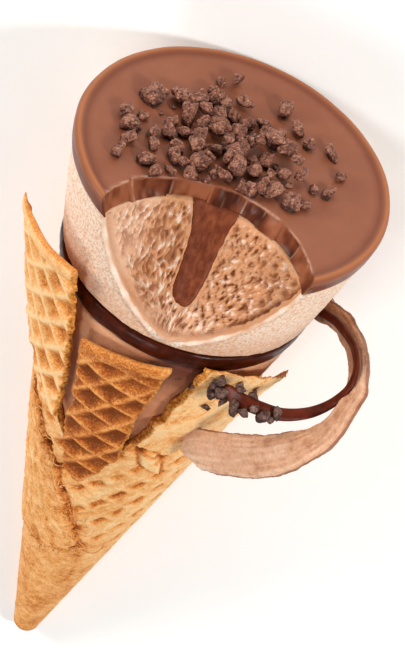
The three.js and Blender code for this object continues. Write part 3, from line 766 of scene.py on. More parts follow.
def pressed(flat, wobble, height, flap, on_left, shown):
    """Pressed pits on the right, and thin crossing ridges left of the seam."""
    local, to_ridge, cell = waffle(flat + 0.12 * wobble, **CONE_CELLS)
    own = chance(cell[:, 0] * 7 + cell[:, 1] * 13, 3)
    length, width = 1.75 + 0.45 * own, 0.66 + 0.2 * chance(cell[:, 0] * 5 + cell[:, 1] * 3, 4)
    shape = smooth((length - np.abs(local[:, 0])) / 0.42)
    profile = smooth((width + 0.2 - local[:, 1]) / 0.4) * smooth((local[:, 1] + width + 0.5) / 0.9)
    where = (1 - on_left) * smooth((height - 42) / 18) * (1 - smooth(flap / 1.5)) * shown
    pits = shape * profile * (0.6 + 0.4 * own) * where
    ridges = smooth(1 - to_ridge.min(1) / 1.3) * where
    _, left_ridge, _ = waffle(flat + 0.35 * wobble, **LEFT_CELLS)
    crossing = smooth(1 - left_ridge.min(1) / 1.1) * on_left * above_tip(height)
    lift = 0.13 * crossing * shown + 0.12 * ridges - 0.75 * pits
    # The pits are darker, partly baked colour and partly painted shade; the ridges are lighter, as
    # painted highlights.
    return lift, 0.50 * pits - 0.08 * ridges + 0.06 * on_left - 0.08 * crossing


def baked(flat, wobble, height, on_left, shown):
    """Layers, streaks and speckles of the baked sheet, and dashes left of the seam."""
    streaks = streaked(flat, CONE_CELLS["along"], (5.5, 1.3, 1), 21)
    layered = flakes(flat, CONE_CELLS["along"], (9, 2.6, 1), 5, 23)
    steep = streaked(flat + 0.5 * wobble, (0.42, -1), (5.5, 0.95, 1), 25) * on_left
    crossed = on_sheet(flat @ np.array([[0.92, 0.39], [0.39, -0.92]]))
    dashes = smooth(1 - cells(crossed, (0.9, 3.6, 1), 27)[0] / 0.3) * on_left * above_tip(height)
    speckle = fractal(on_sheet(flat), 1.0, 2, 29)
    on_right, strength = 1 - on_left, 0.3 + 0.7 * above_tip(height)
    lift = (0.16 * streaks + 0.42 * (layered - 0.5)) * on_right * strength * shown
    lift += 0.36 * steep * strength - 0.3 * dashes + 0.07 * speckle * shown
    bake_and_painted_light = 0.18 * speckle - 0.2 * steep + 0.35 * dashes
    return lift, bake_and_painted_light + (0.34 * (0.5 - layered) - 0.12 * streaks) * on_right


def rolled_edge(flat, wobble, height, seam, left, shown):
    """The roll's outer layer left of its ragged edge, with fibres along it, and a faint line."""
    layer = smooth((seam - 0.05) / 0.35) * np.exp(-np.maximum(seam - 6, 0) / 26)
    layer = np.where(left, 0.62 * layer, 0) * shown
    groove = np.where(left, 0, -0.42 * bell(seam, 0.7))
    fibres = streaked(flat + 0.8 * wobble, (0.5, -1), (2.6, 0.42, 1), 31, 2)
    near = bell(seam, 2.6)
    faint, _ = to_line(flat + 0.5 * wobble, flat_corners(FAINT_LINE))
    lift = (layer + groove + 0.36 * fibres * near) * (height < 96) - 0.22 * bell(faint, 0.6)
    # Painted shadow along the edge of the outer layer and painted shade between its fibres; the faint
    # line is darker too.
    bake_and_painted_light = 0.45 * near * (seam < 6) * np.clip(-fibres, 0, 1) + 0.35 * bell(seam, 0.8)
    return lift, bake_and_painted_light + 0.22 * bell(faint, 0.8)


def flap_and_wedge(flat, wobble, height, flap):
    """The flap and the wedge of the pale outer layer on the right."""
    wedge = inward(flat + 0.15 * wobble, flat_corners(WEDGE))
    layers = flakes(flat + 0.3 * wobble, (1.0, 0.75), (8.0, 2.6, 1), 5, 37)
    layer_edges = np.abs(layers * 5 - np.round(layers * 5)) > 0.08
    on_flap = smooth(flap / 0.45)
    lift = on_flap * (0.45 + 1.5 * (layers - 0.5)) * smooth((140 - height) / 4)
    lift += 0.26 * on_flap * streaked(flat, (1.0, 0.7), (4, 0.9, 1), 39)
    lift -= 0.3 * bell(flap + 0.45, 0.5) + 0.25 * bell(wedge + 0.4, 0.45)
    lift += smooth(wedge / 0.35) * (0.75 + 0.22 * wedge)
    bake_and_painted_light = on_flap * (0.8 * (0.5 - layers) + 0.22 * layer_edges - 0.10) - 0.1 * smooth(wedge / 0.4)
    # A painted shadow just outside the edges of the flap and the wedge.
    return lift, bake_and_painted_light + 0.42 * bell(flap + 0.4, 0.5) + 0.42 * bell(wedge + 0.4, 0.45)


def above_tip(height):
    return smooth((height - 28) / 20)


def cone_relief(flat, azimuth, height):
    """How far the cone's outside stands out, and its baked colour with painted shade and highlights."""
    wobble = np.stack([fractal(on_sheet(flat, depth), 2.2, 3, 7) for depth in (0.3, 9.1)], 1)
    seam, side = to_line(flat + 0.7 * wobble, flat_corners(SEAM_LINE))
    seam = np.where(height > 100, 60.0, seam)
    left = side < 0
    flap = inward(flat + 0.45 * wobble, flat_corners(FLAP))
    shown = 1 - smooth((np.abs(azimuth) - 166) / 8)
    on_left = np.where(left & (seam < 50) & (seam > 0), smooth(seam / 2), 0)
    lifts, bake_and_painted_light_parts = zip(
        pressed(flat, wobble, height, flap, on_left, shown),
        baked(flat, wobble, height, on_left, shown),
        rolled_edge(flat, wobble, height, seam, left, shown),
        flap_and_wedge(flat, wobble, height, flap),
    )
    tip = 1 - smooth((height - 20) / 40)
    return sum(lifts), 0.24 + 0.15 * tip + sum(bake_and_painted_light_parts)


def sheet_within(outline, *grids):
    """A sheet as points on the flat and triangles, from its outline and grids; each grid is its
    spacing and, where it isn't kept everywhere, where it is."""
    grid = np.vstack([grid_within(outline, *one) for one in grids])
    return np.vstack([outline, grid]), triangles_within(outline, grid)


def cone_outline(low, edge, border_step, low_step):
    """The rolled-out side between a height `low` and the broken edge, from the lower left on."""
    low_az = np.linspace(-180, 180, max(12, round(360 / low_step)) + 1)
    bottom = unrolled(low_az, np.full(len(low_az), low))
    heights = np.linspace(low, BREAK[-1][1], max(4, round((BREAK[-1][1] - low) / border_step)) + 1)
    right = unrolled(np.full(len(heights), 180.0), heights)
    left = unrolled(np.full(len(heights), -180.0), heights)[::-1]
    outline = np.vstack([bottom[:-1], right[:-1], edge[::-1][:-1], left[:-1]])
    first_edge = len(bottom) - 1 + len(right) - 1
    return outline, np.arange(first_edge, first_edge + len(edge)), len(low_az)


def cone_inside(edge_azimuth, edge_height):
    """The cone's inner side, thinner at the break on the right: its points and triangles, the
    points on the break and how many lie round its floor."""
    slant = 1.2 * smooth((edge_azimuth - 6) / 8) * smooth((30 - edge_azimuth) / 6)
    edge = unrolled(edge_azimuth - slant, edge_height)
    outline, edge_ids, low_count = cone_outline(HOLLOW_LOW, edge, 4.0, 15)
    flat, faces = sheet_within(outline, (2.6,))
    azimuth, height = rolled(flat)
    to_break, _ = to_line(flat, edge)
    thin = smooth((azimuth - 18) / 12) * smooth((92 - azimuth) / 12)
    thin *= 0.78 * bell(to_break, 3)
    radius = wafer_radius(height) - WAFER * (1 - thin) + flare_at(azimuth, height) + 0.75 * thin
    return at(azimuth, radius, height), faces[:, ::-1], edge_ids[:-1], low_count - 1


def wafer_cone():
    edge = jagged(resampled(flat_corners(BREAK), 0.42), 0.55, 2.4, 41)
    outline, edge_ids, low_count = cone_outline(SHEET_LOW, edge, 0.8, 10)

    def is_front(points):
        azimuth, _ = rolled(points)
        return np.abs(azimuth - 8) < 112  # what the photo shows, and some more

    flat, faces = sheet_within(outline, (0.40, is_front), (0.66, lambda points: ~is_front(points)))
    azimuth, height = rolled(flat)
    lift, bake_and_painted_light = cone_relief(flat, azimuth, height)
    lift *= smooth((height - SHEET_LOW) / 6) * smooth((180 - np.abs(azimuth)) / 4)
    radius = wafer_radius(height) + flare_at(azimuth, height) + fold_at(azimuth, height) + lift
    front = at(azimuth, radius, height)

    # the inside, its floor, and the crumb between the two edges
    edge_azimuth, edge_height = rolled(edge)
    back, back_faces, inner_ids, count = cone_inside(edge_azimuth, edge_height)
    floor_points = np.vstack([back[:count], back[:count].mean(0)])
    rows = broken_edge(front[edge_ids[:-1]], back[inner_ids], 43, -0.42)
    strip = grid_faces(len(rows), rows.shape[1], wrap=True)[:, ::-1]
    crumby = (1 - 0.7 * smooth((edge_azimuth - 26) / 6) * smooth((95 - edge_azimuth) / 10))[:0:-1]
    crumb_at_edge = np.zeros(len(front))
    crumb_at_edge[edge_ids[:-1]] = 0.8 * crumby
    parts = [
        (front, faces, {"bake_and_painted_light": bake_and_painted_light, "crumb": crumb_at_edge}),
        (back, back_faces, {"bake_and_painted_light": 0.45}),
        (rows.reshape(-1, 3), strip, {"bake_and_painted_light": 0.35, "crumb": np.tile(crumby, len(rows))}),
        (*wafer_tip(front[:low_count - 1]), {"bake_and_painted_light": 0.5}),
        (floor_points, fan(0, count, count)[:, ::-1], {"bake_and_painted_light": 0.5}),
    ]
    points, faces, marks = sewn(parts)
    make_piece("WaferCone", points, faces, WAFER_LOOK, ["wafer_cone"], "wafer", marks)


def wafer_tip(ring):
    """The rounded tip under the sheet's lowest ring."""
    height = float(ring[0][2])
    turns = np.radians(np.arange(0, 90, 11.25))[::-1]
    rings = np.stack([
        on_sheet(ring[:, :2] * math.cos(turn), height * (1 - math.sin(turn))) for turn in turns
    ])
    rows, count, _ = rings.shape
    points = np.vstack([rings.reshape(-1, 3), [[0, 0, 0]]])
    return points, np.vstack([grid_faces(rows, count, wrap=True), fan(0, count, rows * count)])


def tube(centres, radii, sides):
    """A thin round thread through points."""
    ahead = np.gradient(centres, axis=0)
    ahead /= np.linalg.norm(ahead, axis=1, keepdims=True)
    side = np.cross(ahead, centres * [1, 1, 0])
    side /= np.linalg.norm(side, axis=1, keepdims=True)
    other = np.cross(ahead, side)
    turn = np.linspace(0, 2 * np.pi, sides, endpoint=False)
    rings = centres[:, None] + radii[:, None, None] * (
        side[:, None] * np.cos(turn)[:, None] + other[:, None] * np.sin(turn)[:, None])
    return capped(rings)


def seam_threads():
    """Thin curled threads of baked batter along the seam."""
    line = resampled(flat_corners(SEAM_LINE), 0.5)
    steps = np.linspace(0, 1, 15)
    parts = []
    for k in range(THREADS):
        draw = [float(chance(k, channel)) for channel in range(51, 59)]
        start = line[int((0.04 + 0.86 * draw[0]) * len(line))] + 2.2 * (np.array(draw[1:3]) - 0.5)
        angle = 2 * math.pi * draw[3] + 5.5 * (draw[4] - 0.5) * steps
        length = 1.5 + 4 * draw[5]
        flat = start + np.cumsum(np.stack([np.cos(angle), np.sin(angle)], 1), axis=0) * length / 14
        azimuth, height = rolled(flat)
        stand = 0.3 + (0.25 + 0.9 * draw[6]) * np.sin(np.pi * steps)
        centres = at(azimuth, wafer_radius(height) + fold_at(azimuth, height) + stand, height)
        points, faces = tube(centres, (0.10 + 0.07 * draw[7]) * (1 - 0.5 * steps), 5)
        parts.append((points, faces, {"bake_and_painted_light": 0.1 + 0.5 * draw[4], "crumb": 0.0}))
    points, faces, marks = joined(parts)
    make_piece("SeamThreads", points, faces, WAFER_LOOK, ["wafer_cone"], "wafer", marks)


# ---- the shards ----

# Azimuth and height of the shards' corners, and of the smooth rims among them.
LEFT_SHARD = [
    (-30.5, 97), (-30.5, 104), (-31.5, 114), (-33, 121), (-34, 131), (-35, 138), (-35.2, 143),
    (-42, 142.2), (-50, 140.8), (-59, 140.2), (-68, 139.9), (-74, 139.9), (-78, 135.8), (-80, 130),
    (-78, 121), (-70, 112.5), (-60, 106), (-48, 100.4), (-43, 98.6), (-36, 97.4),
]
FRONT_SHARD = [
    (-11.6, 82.1), (-6.4, 81.4), (-2, 84.6), (2.6, 88.8), (7.6, 94.6), (7.2, 100.6), (7.6, 105.3),
    (6.6, 110), (8.2, 117), (9.2, 124.2), (10.2, 131), (-0.8, 129.2), (-8.7, 128.3), (-17.4, 126.8),
    (-26.7, 125.2), (-26, 119.5), (-24.4, 111.3), (-23, 106.5), (-24, 101), (-22.8, 95.6),
    (-19.6, 87.5), (-17, 84.2),
]
LEFT_RIM = [(-35.2, 143), (-42, 142.2), (-50, 140.8), (-59, 140.2), (-68, 139.9), (-74, 139.9)]
FRONT_RIM = [(10.2, 131), (-0.8, 129.2), (-8.7, 128.3), (-17.4, 126.8), (-26.7, 125.2)]


def left_stand(azimuth, height):
    """How far the left shard's outside stands off the cone."""
    up = np.clip((height - 97) / 47, 0, 1)
    round_it = np.clip((-30 - azimuth) / 40, 0, 1)
    return 2.9 + 3.6 * up ** 0.85 * round_it + (0.7 * round_it - 0.9) * np.sin(np.pi * up)


def front_stand(_, height):
    """How far the front shard's outside stands off the cone."""
    return lerp(2.9, 1.6, smooth((height - 84) / 45))


def shard_relief(flat, outline, rim_line, cells_of, depth, seed, darker):
    """How far a shard's outer side stands out, and its baked colour with painted shade and highlights.
    """
    solid = on_sheet(flat)
    wobble = np.stack([fractal(solid + shift, 2.6, 2, seed + 3) for shift in (0, 17.3)], 1)
    local, to_ridge, cell = waffle(flat + 0.22 * wobble, **cells_of)
    own = chance(cell[:, 0] * 11 + cell[:, 1] * 5, 6)
    nearest = to_ridge.min(1)
    to_rim, _ = to_line(flat, rim_line)
    patterned = smooth((to_rim - 2.3) / 1.3)
    bowl = smooth((nearest - 0.22) / 1.9) * patterned
    fine = fractal(solid, 1.0, 3, seed + 7)
    streaks = streaked(flat, cells_of["across"], (4.5, 1.0, 1), seed + 9)
    lift = 0.1 - depth * (0.75 + 0.35 * own) * bowl
    lift += (0.06 * fine + 0.10 * streaks) * (0.3 + 0.7 * patterned)
    lift += 0.24 * bell(to_rim - 1.3, 0.9) - 0.12 * bell(to_rim, 0.5)
    edge = np.maximum(inward(flat, outline), 0)
    lift -= 0.22 * bell(edge, 0.35) * smooth((to_rim - 0.4) / 0.8)
    # The bowls of the cells are darker, partly baked colour and partly painted shade; the ridges are
    # lighter, as painted highlights; the smooth rim is lighter.
    bake_and_painted_light = 0.26 + darker + 0.40 * bowl * (0.6 + 0.6 * own) + 0.16 * fine
    bake_and_painted_light -= 0.24 * smooth(1 - nearest / 0.7) * patterned + (0.05 + darker / 12) * (1 - patterned)
    # Each bowl is painted darker towards one side, as the shade of its wall.
    return lift, bake_and_painted_light + 0.14 * streaks + 0.035 * (local[:, 0] - local[:, 1]) * bowl


def shard(name, node, corners, rim, cells_of, stand, slant, depth, seed, darker):
    """A shard of wafer: its outer side with a waffle `depth` mm deep, its inner side, and the crumb
    between them, whose edge leans by `slant` degrees."""
    rim_line = flat_corners(rim)
    line = resampled(flat_corners(corners), 0.33, closed=True)
    rim_distance, _ = to_line(line, rim_line)
    rough = jagged(line, 0.42, 1.7, seed, keep_ends=False)
    outline = lerp(line, rough, smooth(rim_distance / 1.2 + 0.25)[:, None])
    flat, faces = sheet_within(outline, (0.33,))
    azimuth, height = rolled(flat)
    lift, bake_and_painted_light = shard_relief(flat, outline, rim_line, cells_of, depth, seed, darker)
    front = at(azimuth, wafer_radius(height) + stand(azimuth, height) + lift, height)

    count = len(outline)
    edge_azimuth, edge_height = rolled(outline)
    inner_outline = unrolled(edge_azimuth + slant(edge_azimuth), edge_height)
    inner_flat, inner_faces = sheet_within(inner_outline, (1.4,))
    inner_azimuth, inner_height = rolled(inner_flat)
    inner_mean = wafer_radius(inner_height) + stand(inner_azimuth, inner_height)
    inner_mean -= WAFER * (1 - 0.72 * smooth((-60 - inner_azimuth) / 16))
    back = at(inner_azimuth, inner_mean, inner_height)
    rim_crumb = smooth((rim_distance - 0.6) / 0.8)
    rows = broken_edge(
        front[:count], back[:count], seed + 11, -0.05 - 0.35 * rim_crumb, 0.4 * (1 - rim_crumb))
    strip = grid_faces(len(rows), count, wrap=True)[:, ::-1]
    crumb = np.zeros(len(front))
    crumb[:count] = 0.7 * rim_crumb
    strip_crumb = np.tile(0.05 + 0.95 * rim_crumb, len(rows))
    parts = [
        (front, faces, {"bake_and_painted_light": bake_and_painted_light, "crumb": crumb}),
        (back, inner_faces[:, ::-1], {"bake_and_painted_light": 0.45}),
        (rows.reshape(-1, 3), strip, {"bake_and_painted_light": 0.45, "crumb": strip_crumb}),
    ]
    points, faces, marks = sewn(parts)
    make_piece(name, *outwards(points, faces), WAFER_LOOK, [node], "wafer", marks)


def left_shard():
    shard(
        "ShardLeft", "wafer_shard_left", LEFT_SHARD, LEFT_RIM, LEFT_CELLS, left_stand,
        lambda azimuth: 0.6 * smooth((azimuth + 36) / 3), 1.0, 51, -0.09,
    )


def front_shard():
    shard(
        "ShardFront", "wafer_shard_front", FRONT_SHARD, FRONT_RIM, FRONT_CELLS, front_stand,
        lambda azimuth: 0.9 * smooth((azimuth - 3) / 3), 1.1, 61, 0.42,
    )


# ---- the fillings ----

def lower_ice_cream():
    top = SAUCE_BOTTOM - GAP
    profile = [
        (filling_radius(LOWER_LOW), LOWER_LOW), (filling_radius(70), 70), (filling_radius(84), 84),
        (filling_radius(top - 0.6), top - 0.6), (filling_radius(top) - 0.7, top), (4, top),
    ]
    points, faces = lathe(spaced(profile, 0.8), azimuths(1.6, 4))
    out = normals(points, faces)
    waves = 0.22 * fractal(points, (7, 7, 3.2), 3, 71) + 0.05 * fractal(points, 1.3, 2, 73)
    pits = cells(points, 3.4, 75)[0]
    waves -= 0.12 * smooth(1 - pits / 0.28)
    points = points + out * (waves * (points[:, 2] > 60))[:, None]
    azimuth = np.degrees(np.arctan2(points[:, 0], -points[:, 1]))
    height = points[:, 2]
    # Painted light on the left side and on a strip under the sauce at the right, and painted shade to
    # the right high up, under the sauce and the puck.
    pale = smooth((azimuth - 29) / 11) * smooth((125 - azimuth) / 20)
    darker = smooth((azimuth + 4) / 14) * smooth((height - 116) / 12) * (1 - pale)
    lighter = smooth((-azimuth - 4) / 14) * smooth((height - 96) / 10) + 1.25 * pale
    marks = {"pores": 0.35, "deep": 0.9 * darker, "light": 0.8 * lighter}
    make_piece(
        "LowerIceCream", points, faces, DARK_ICE_LOOK, ["ice_cream_lower"], "ice_cream_dark", marks)


def sauce_layer():
    top = PUCK_BOTTOM - GAP
    radius = filling_radius(SAUCE_BOTTOM) + 0.3
    profile = [
        (6, SAUCE_BOTTOM), (radius - 0.6, SAUCE_BOTTOM), (radius - 0.15, SAUCE_BOTTOM + 0.25),
        (radius, SAUCE_BOTTOM + 0.7), (filling_radius(top - 1), top - 1),
        (filling_radius(top - 0.3) - 0.2, top - 0.3), (filling_radius(top) - 0.6, top), (6, top),
    ]
    points, faces = lathe(spaced(profile, 0.4), azimuths(1.0, 3))
    out = normals(points, faces)
    radial = np.hypot(points[:, 0], points[:, 1])
    skin = smooth((radial - 18) / 4)
    waves = 0.32 * fractal(points, (8, 8, 2.4), 3, 81) + 0.06 * noise(points, 1.2, 83)
    bulge = 0.3 * np.sin(np.pi * np.clip((points[:, 2] - SAUCE_BOTTOM) / (top - SAUCE_BOTTOM), 0, 1))
    points = points + out * ((waves + bulge) * skin)[:, None]
    thin = smooth(1 - (points[:, 2] - SAUCE_BOTTOM) / 0.7)
    make_piece(
        "SauceLayer", points, faces, SAUCE_LOOK, ["sauce_layer"], "sauce", {"thin": 0.75 * thin})


def bite_reach(depth):
    return np.maximum(0.02, 1 - (np.clip(depth, 0, BITE_DEPTH) / BITE_DEPTH) ** 1.6)


def bite_width(depth):
    return np.maximum(0.02, 1 - (np.clip(depth, 0, BITE_DEPTH) / BITE_DEPTH) ** 2)


def in_bite(across, outward, height):
    """The cone's frame from the bite's: across it, outward from the axis, and height."""
    x = across * math.cos(BITE_AZIMUTH) + outward * math.sin(BITE_AZIMUTH)
    y = across * math.sin(BITE_AZIMUTH) - outward * math.cos(BITE_AZIMUTH)
    return np.stack(np.broadcast_arrays(x, y, height), -1)


def from_bite(points):
    x, y = points[:, 0], points[:, 1]
    across = x * math.cos(BITE_AZIMUTH) + y * math.sin(BITE_AZIMUTH)
    outward = x * math.sin(BITE_AZIMUTH) - y * math.cos(BITE_AZIMUTH)
    return across, outward


def bite_surface(across, depth):
    """How far out from the axis the bitten surface lies."""
    reach, width = bite_reach(depth), bite_width(depth)
    share = np.clip(1 - (across / (BITE_HALF_WIDTH * width)) ** 2, 0, 1)
    return BITE_CENTRE - BITE_REACH * reach * np.sqrt(share)


def bite_tool():
    inner = np.arange(182, 358, 0.62)
    outer = np.arange(-2, 182, 12)
    turn = np.radians(np.concatenate([outer, inner]))
    depths = np.concatenate([np.arange(26.25, 0, -0.3), [-4]])
    rings = []
    for depth in depths:
        reach, width = bite_reach(depth), bite_width(depth)
        rings.append(in_bite(
            BITE_HALF_WIDTH * width * np.cos(turn), BITE_CENTRE + BITE_REACH * reach * np.sin(turn),
            FACE_HEIGHT - depth))
    return capped(np.stack(rings))


def torn(across, outward, height):
    """The torn surface of bitten ice cream, as a relief from about -1 to 1 and its crevices from 0
    to 1: long braided ridges left of the core, and shorter lumps right of it."""
    place = np.stack([across - 0.16 * (height - 150), outward, height], 1)
    place = place + 0.7 * np.stack([fractal(place, 4.0, 2, seed) for seed in (91, 92, 93)], 1)
    crest = ridged(place, (0.9, 1.5, 4.2), 3, 95)
    long_grain = fractal(place, (0.55, 0.9, 2.8), 2, 96, 0.8)
    leaning = place + 0.35 * place[:, [2, 2, 0]] * [1, 0, -1]
    lumps = ridged(leaning, (1.0, 1.4, 1.8), 3, 99)
    short_grain = fractal(leaning, (0.75, 0.9, 1.1), 2, 98, 0.7)
    right = smooth((across + 0.5) / 5) * 0.85 + 0.1
    ridges = 4.0 * (crest - 0.72) + 2.2 * long_grain
    relief = lerp(ridges, 2.8 * (lumps - 0.72) + 1.8 * short_grain, right)
    crevice = lerp(smooth((0.6 - crest) / 0.1), smooth((0.6 - lumps) / 0.1), right)
    return np.clip(relief, -1.2, 1.2), crevice


def core_inward(across, depth):
    """How far inside the core's edge a place on the bitten surface lies."""
    depths, left, right = np.array(CORE_EDGES).T
    sideways = np.minimum(
        across - np.interp(depth, depths, left), np.interp(depth, depths, right) - across)
    return np.minimum(sideways, depths[-1] - depth)


# The core's left and right edges on the bitten surface: depth and place across.
CORE_EDGES = [
    (4.3, -5.1, 4.1), (5.4, -4.8, 3.9), (7.2, -4.1, 3.6), (8.9, -3.5, 3.3), (11.9, -3.0, 3.0),
    (14.6, -2.8, 2.9), (16.6, -2.75, 2.6), (18.2, -2.6, 2.3), (19.6, -2.1, 1.9), (20.4, -1.0, 1.2),
    (20.7, 0.0, 0.4),
]


def puck_block():
    """The light ice cream with the bite cut out of it."""
    profile = spaced([(3, PUCK_BOTTOM), (20, PUCK_BOTTOM)], 6)
    low = filling_radius(PUCK_BOTTOM)
    profile += spaced([
        (low - 1.1, PUCK_BOTTOM), (low - 0.35, PUCK_BOTTOM + 0.3),
        (filling_radius(PUCK_BOTTOM + 0.9), PUCK_BOTTOM + 0.9),
        (filling_radius(PUCK_BEND), PUCK_BEND), (PUCK_TOP_RADIUS, PUCK_TOP),
    ], 0.42)
    profile += spaced([(FACE_RADIUS - 2, PUCK_TOP), (3, PUCK_TOP)], 5)
    return cut(lathe(profile, azimuths(0.85, 1.6)), bite_tool())


def to_nearest(points, chosen, targets):
    """The distance from each chosen point to the nearest target, and 40 mm for the others."""
    tree = KDTree(len(targets))
    for i, p in enumerate(targets):
        tree.insert(p, i)
    tree.balance()
    away = np.full(len(points), 40.0)
    for i in np.nonzero(chosen)[0]:
        away[i] = tree.find(points[i])[2]
    return away


def puck():
    points, faces = puck_block()
    radial = np.hypot(points[:, 0], points[:, 1])
    depth = FACE_HEIGHT - points[:, 2]
    across, outward = from_bite(points)
    bitten = (np.abs(outward - bite_surface(across, depth)) < 0.02) & (depth > GLAZE_DEPTH)
    leaning = [(PUCK_BEND, filling_radius(PUCK_BEND)), (PUCK_TOP, PUCK_TOP_RADIUS)]
    outer = from_table(leaning, points[:, 2])
    outer = np.where(points[:, 2] < PUCK_BEND, filling_radius(points[:, 2]), outer)
    on_side = np.abs(radial - outer) < 0.06
    to_lip = to_nearest(points, bitten | (on_side & (outward > 5)), points[bitten & on_side])

    # round the lip, then raise it
    points = relaxed(points, faces, 0.5 * smooth(1 - to_lip / 0.9), 6)
    out = normals(points, faces)
    side_only = ~bitten & on_side
    to_lip = to_lip + 0.3 * fractal(points, 2.4, 2, 89) * (to_lip > 0.5)
    lip = bell(to_lip, np.where(bitten, 0.55, 0.45))
    lip *= np.clip(0.68 + 0.75 * noise(points, 2.2, 90), 0.12, 1.2)
    right = smooth((across - 8) / 4)
    groove = np.where(bitten, bell(to_lip - 2.5, 0.42), 0) * right
    hollow = np.where(bitten, bell(to_lip - 1.9, 0.6), 0) * (1 - right)
    rough = np.where(bitten, smooth((to_lip - 1.2 - 1.3 * smooth((-across - 4) / 6)) / 2.0), 0)
    core = np.where(bitten, smooth(core_inward(across, depth) / 0.5 + 0.9), 0)
    relief, crevice = torn(across, outward, points[:, 2])
    calm = rough * (1 - 0.2 * smooth((-across - 8) / 4)) * (1 - core) * smooth((depth - 4.5) / 1.4)
    lift = calm * (0.64 * relief - 0.12 * crevice) - 0.16 * core
    lift += 0.62 * lip * np.where(bitten, 1, 0.6) - 0.75 * groove - 0.36 * hollow
    # A thin groove on the side beside the lip, which is also painted darker below as a shadow line.
    outline = np.where(side_only, bell(to_lip - 1.15, 0.38), 0)
    lift -= 0.14 * outline
    sand = cells(points, 0.85, 101)[0]
    side_grain = fractal(points, 0.8, 2, 103)
    lift += side_only * (1 - 0.8 * lip) * (0.08 * side_grain + 0.12 * (0.5 - sand))
    lift += side_only * 0.10 * fractal(points, (5, 5, 3), 2, 105)
    wavy = smooth(1 - (points[:, 2] - PUCK_BOTTOM) / 2.5) * on_side
    lift += 0.22 * wavy * noise(points, (3.2, 3.2, 9), 107)
    points = points + out * (lift * (radial > 2))[:, None]
    # Painted shade in the torn surface's hollows, in the groove and the hollow inside the lip, and as a
    # shadow line beside the lip. The middle and right of the bite are darker, partly their browner
    # colour and partly painted shade; the side is darker towards the bottom and in the fine pits of its
    # grain.
    mild = bitten * smooth((across + 14) / 6) * (1 - 0.7 * smooth((depth - 17) / 5))
    low_side = side_only * smooth(1 - (points[:, 2] - PUCK_BOTTOM) / 12)
    deep = 0.62 * calm * smooth((-relief - 0.3) / 0.6) + 0.8 * groove + 0.16 * outline
    deep += 0.13 * mild * (1 - lip) + 0.12 * low_side + 0.3 * hollow
    deep += 0.05 * side_only * smooth((sand - 0.48) / 0.25)
    # Painted highlights on the lip and on the torn surface's crests; the left of the bite is lighter,
    # partly its own colour and partly painted light; the side is paler, partly its own colour and
    # partly painted light, less so towards the bottom.
    light = 0.6 * lip + 0.9 * side_only * (1 - 0.5 * low_side)
    light += 0.75 * calm * smooth((relief - 0.45) / 0.5) + 0.24 * (bitten - mild)
    marks = {
        "pores": side_only * 0.9 + 0.2 * bitten,
        "deep": np.clip(deep, 0, 0.85),
        "light": np.clip(light, 0, 0.85),
    }
    make_piece(
        "Puck", points, faces, LIGHT_ICE_LOOK, ["ice_cream_puck"], "ice_cream_light", marks)


def sauce_core():
    """A vein of sauce from behind the axis to the bitten surface, whose edge it shows along."""
    edges = np.array(CORE_EDGES)
    right = np.stack([edges[:, 2], -edges[:, 0]], 1)
    left = np.stack([edges[:, 1], -edges[:, 0]], 1)[::-1]
    corners = np.vstack([right, left])
    outline = jagged(resampled(corners, 0.3, closed=True), 0.22, 1.1, 111, keep_ends=False)
    flat, faces = sheet_within(outline, (0.34,))
    across, depth = flat[:, 0], -flat[:, 1]
    edge = np.maximum(inward(flat, outline), 0)
    solid = on_sheet(flat)
    relief = 0.10 + 0.09 * fractal(solid, (0.7, 4.0, 1), 3, 113) + 0.05 * fractal(solid, 0.7, 2, 115)
    relief -= 0.30 * bell(edge, 0.35)
    front = in_bite(across, bite_surface(across, depth) + relief, FACE_HEIGHT - depth)
    half = np.interp(depth, edges[:, 0], (edges[:, 2] - edges[:, 1]) / 2)
    middle = np.interp(depth, edges[:, 0], (edges[:, 2] + edges[:, 1]) / 2)
    share = np.clip(1 - ((across - middle) / np.maximum(half, 0.1)) ** 2, 0, 1)
    back = in_bite(across, np.minimum(10 - 17 * np.sqrt(share), bite_surface(across, depth) - 1.2),
                   FACE_HEIGHT - depth)
    count = len(outline)
    rows = np.stack([front[:count], back[:count]])
    strip = grid_faces(2, count, wrap=True)
    points, faces, marks = sewn([
        (front, faces, {}), (back, faces[:, ::-1], {}), (rows.reshape(-1, 3), strip, {}),
    ])
    make_piece("SauceCore", *outwards(points, faces), CORE_LOOK, ["sauce_core"], "sauce_core", marks)


# ---- the glaze ----

# The glaze's broken edge: degrees round the bite from its right end, and where the top edge lies
# there as a share of the bite's ellipse.
BREAK_TOP = [
    (-10, 1.0), (14, 1.0), (28, 0.992), (39, 1.015), (47.6, 1.019), (55.3, 1.034), (61, 1.023),
    (69, 1.018), (76, 1.023), (83.3, 1.033), (90.7, 1.021), (98, 1.0), (106, 1.003), (114.6, 1.014),
    (122, 1.017), (129, 1.026), (137, 1.051), (143.7, 1.072), (145.2, 1.047), (152, 1.053),
    (159, 1.062), (190, 1.06),
]
# Where the chips of the broken edge meet, and each chip's tilt, turn, hollow and tone; the tone is
# partly the chip's own and partly painted light and shade.
CHIPS = [-40, 10, 24, 37, 54.8, 64.8, 77, 88.8, 97.5, 120.5, 144.5, 166, 200]
CHIP_SHAPES = [
    (0.0, 0.0, 0.01, 0.45), (-0.016, 0.014, 0.018, 0.7), (0.012, -0.016, 0.015, 0.95),
    (0.016, 0.02, 0.022, 0.5), (-0.022, -0.018, 0.012, 0.65), (0.004, 0.016, 0.02, 0.05),
    (0.02, -0.016, 0.014, 0.0), (-0.016, 0.014, 0.012, 0.1), (0.02, 0.006, -0.02, 1.0),
    (-0.018, -0.02, 0.024, 0.4), (0.018, 0.016, 0.01, 0.9), (0.0, 0.0, 0.01, 0.6),
]


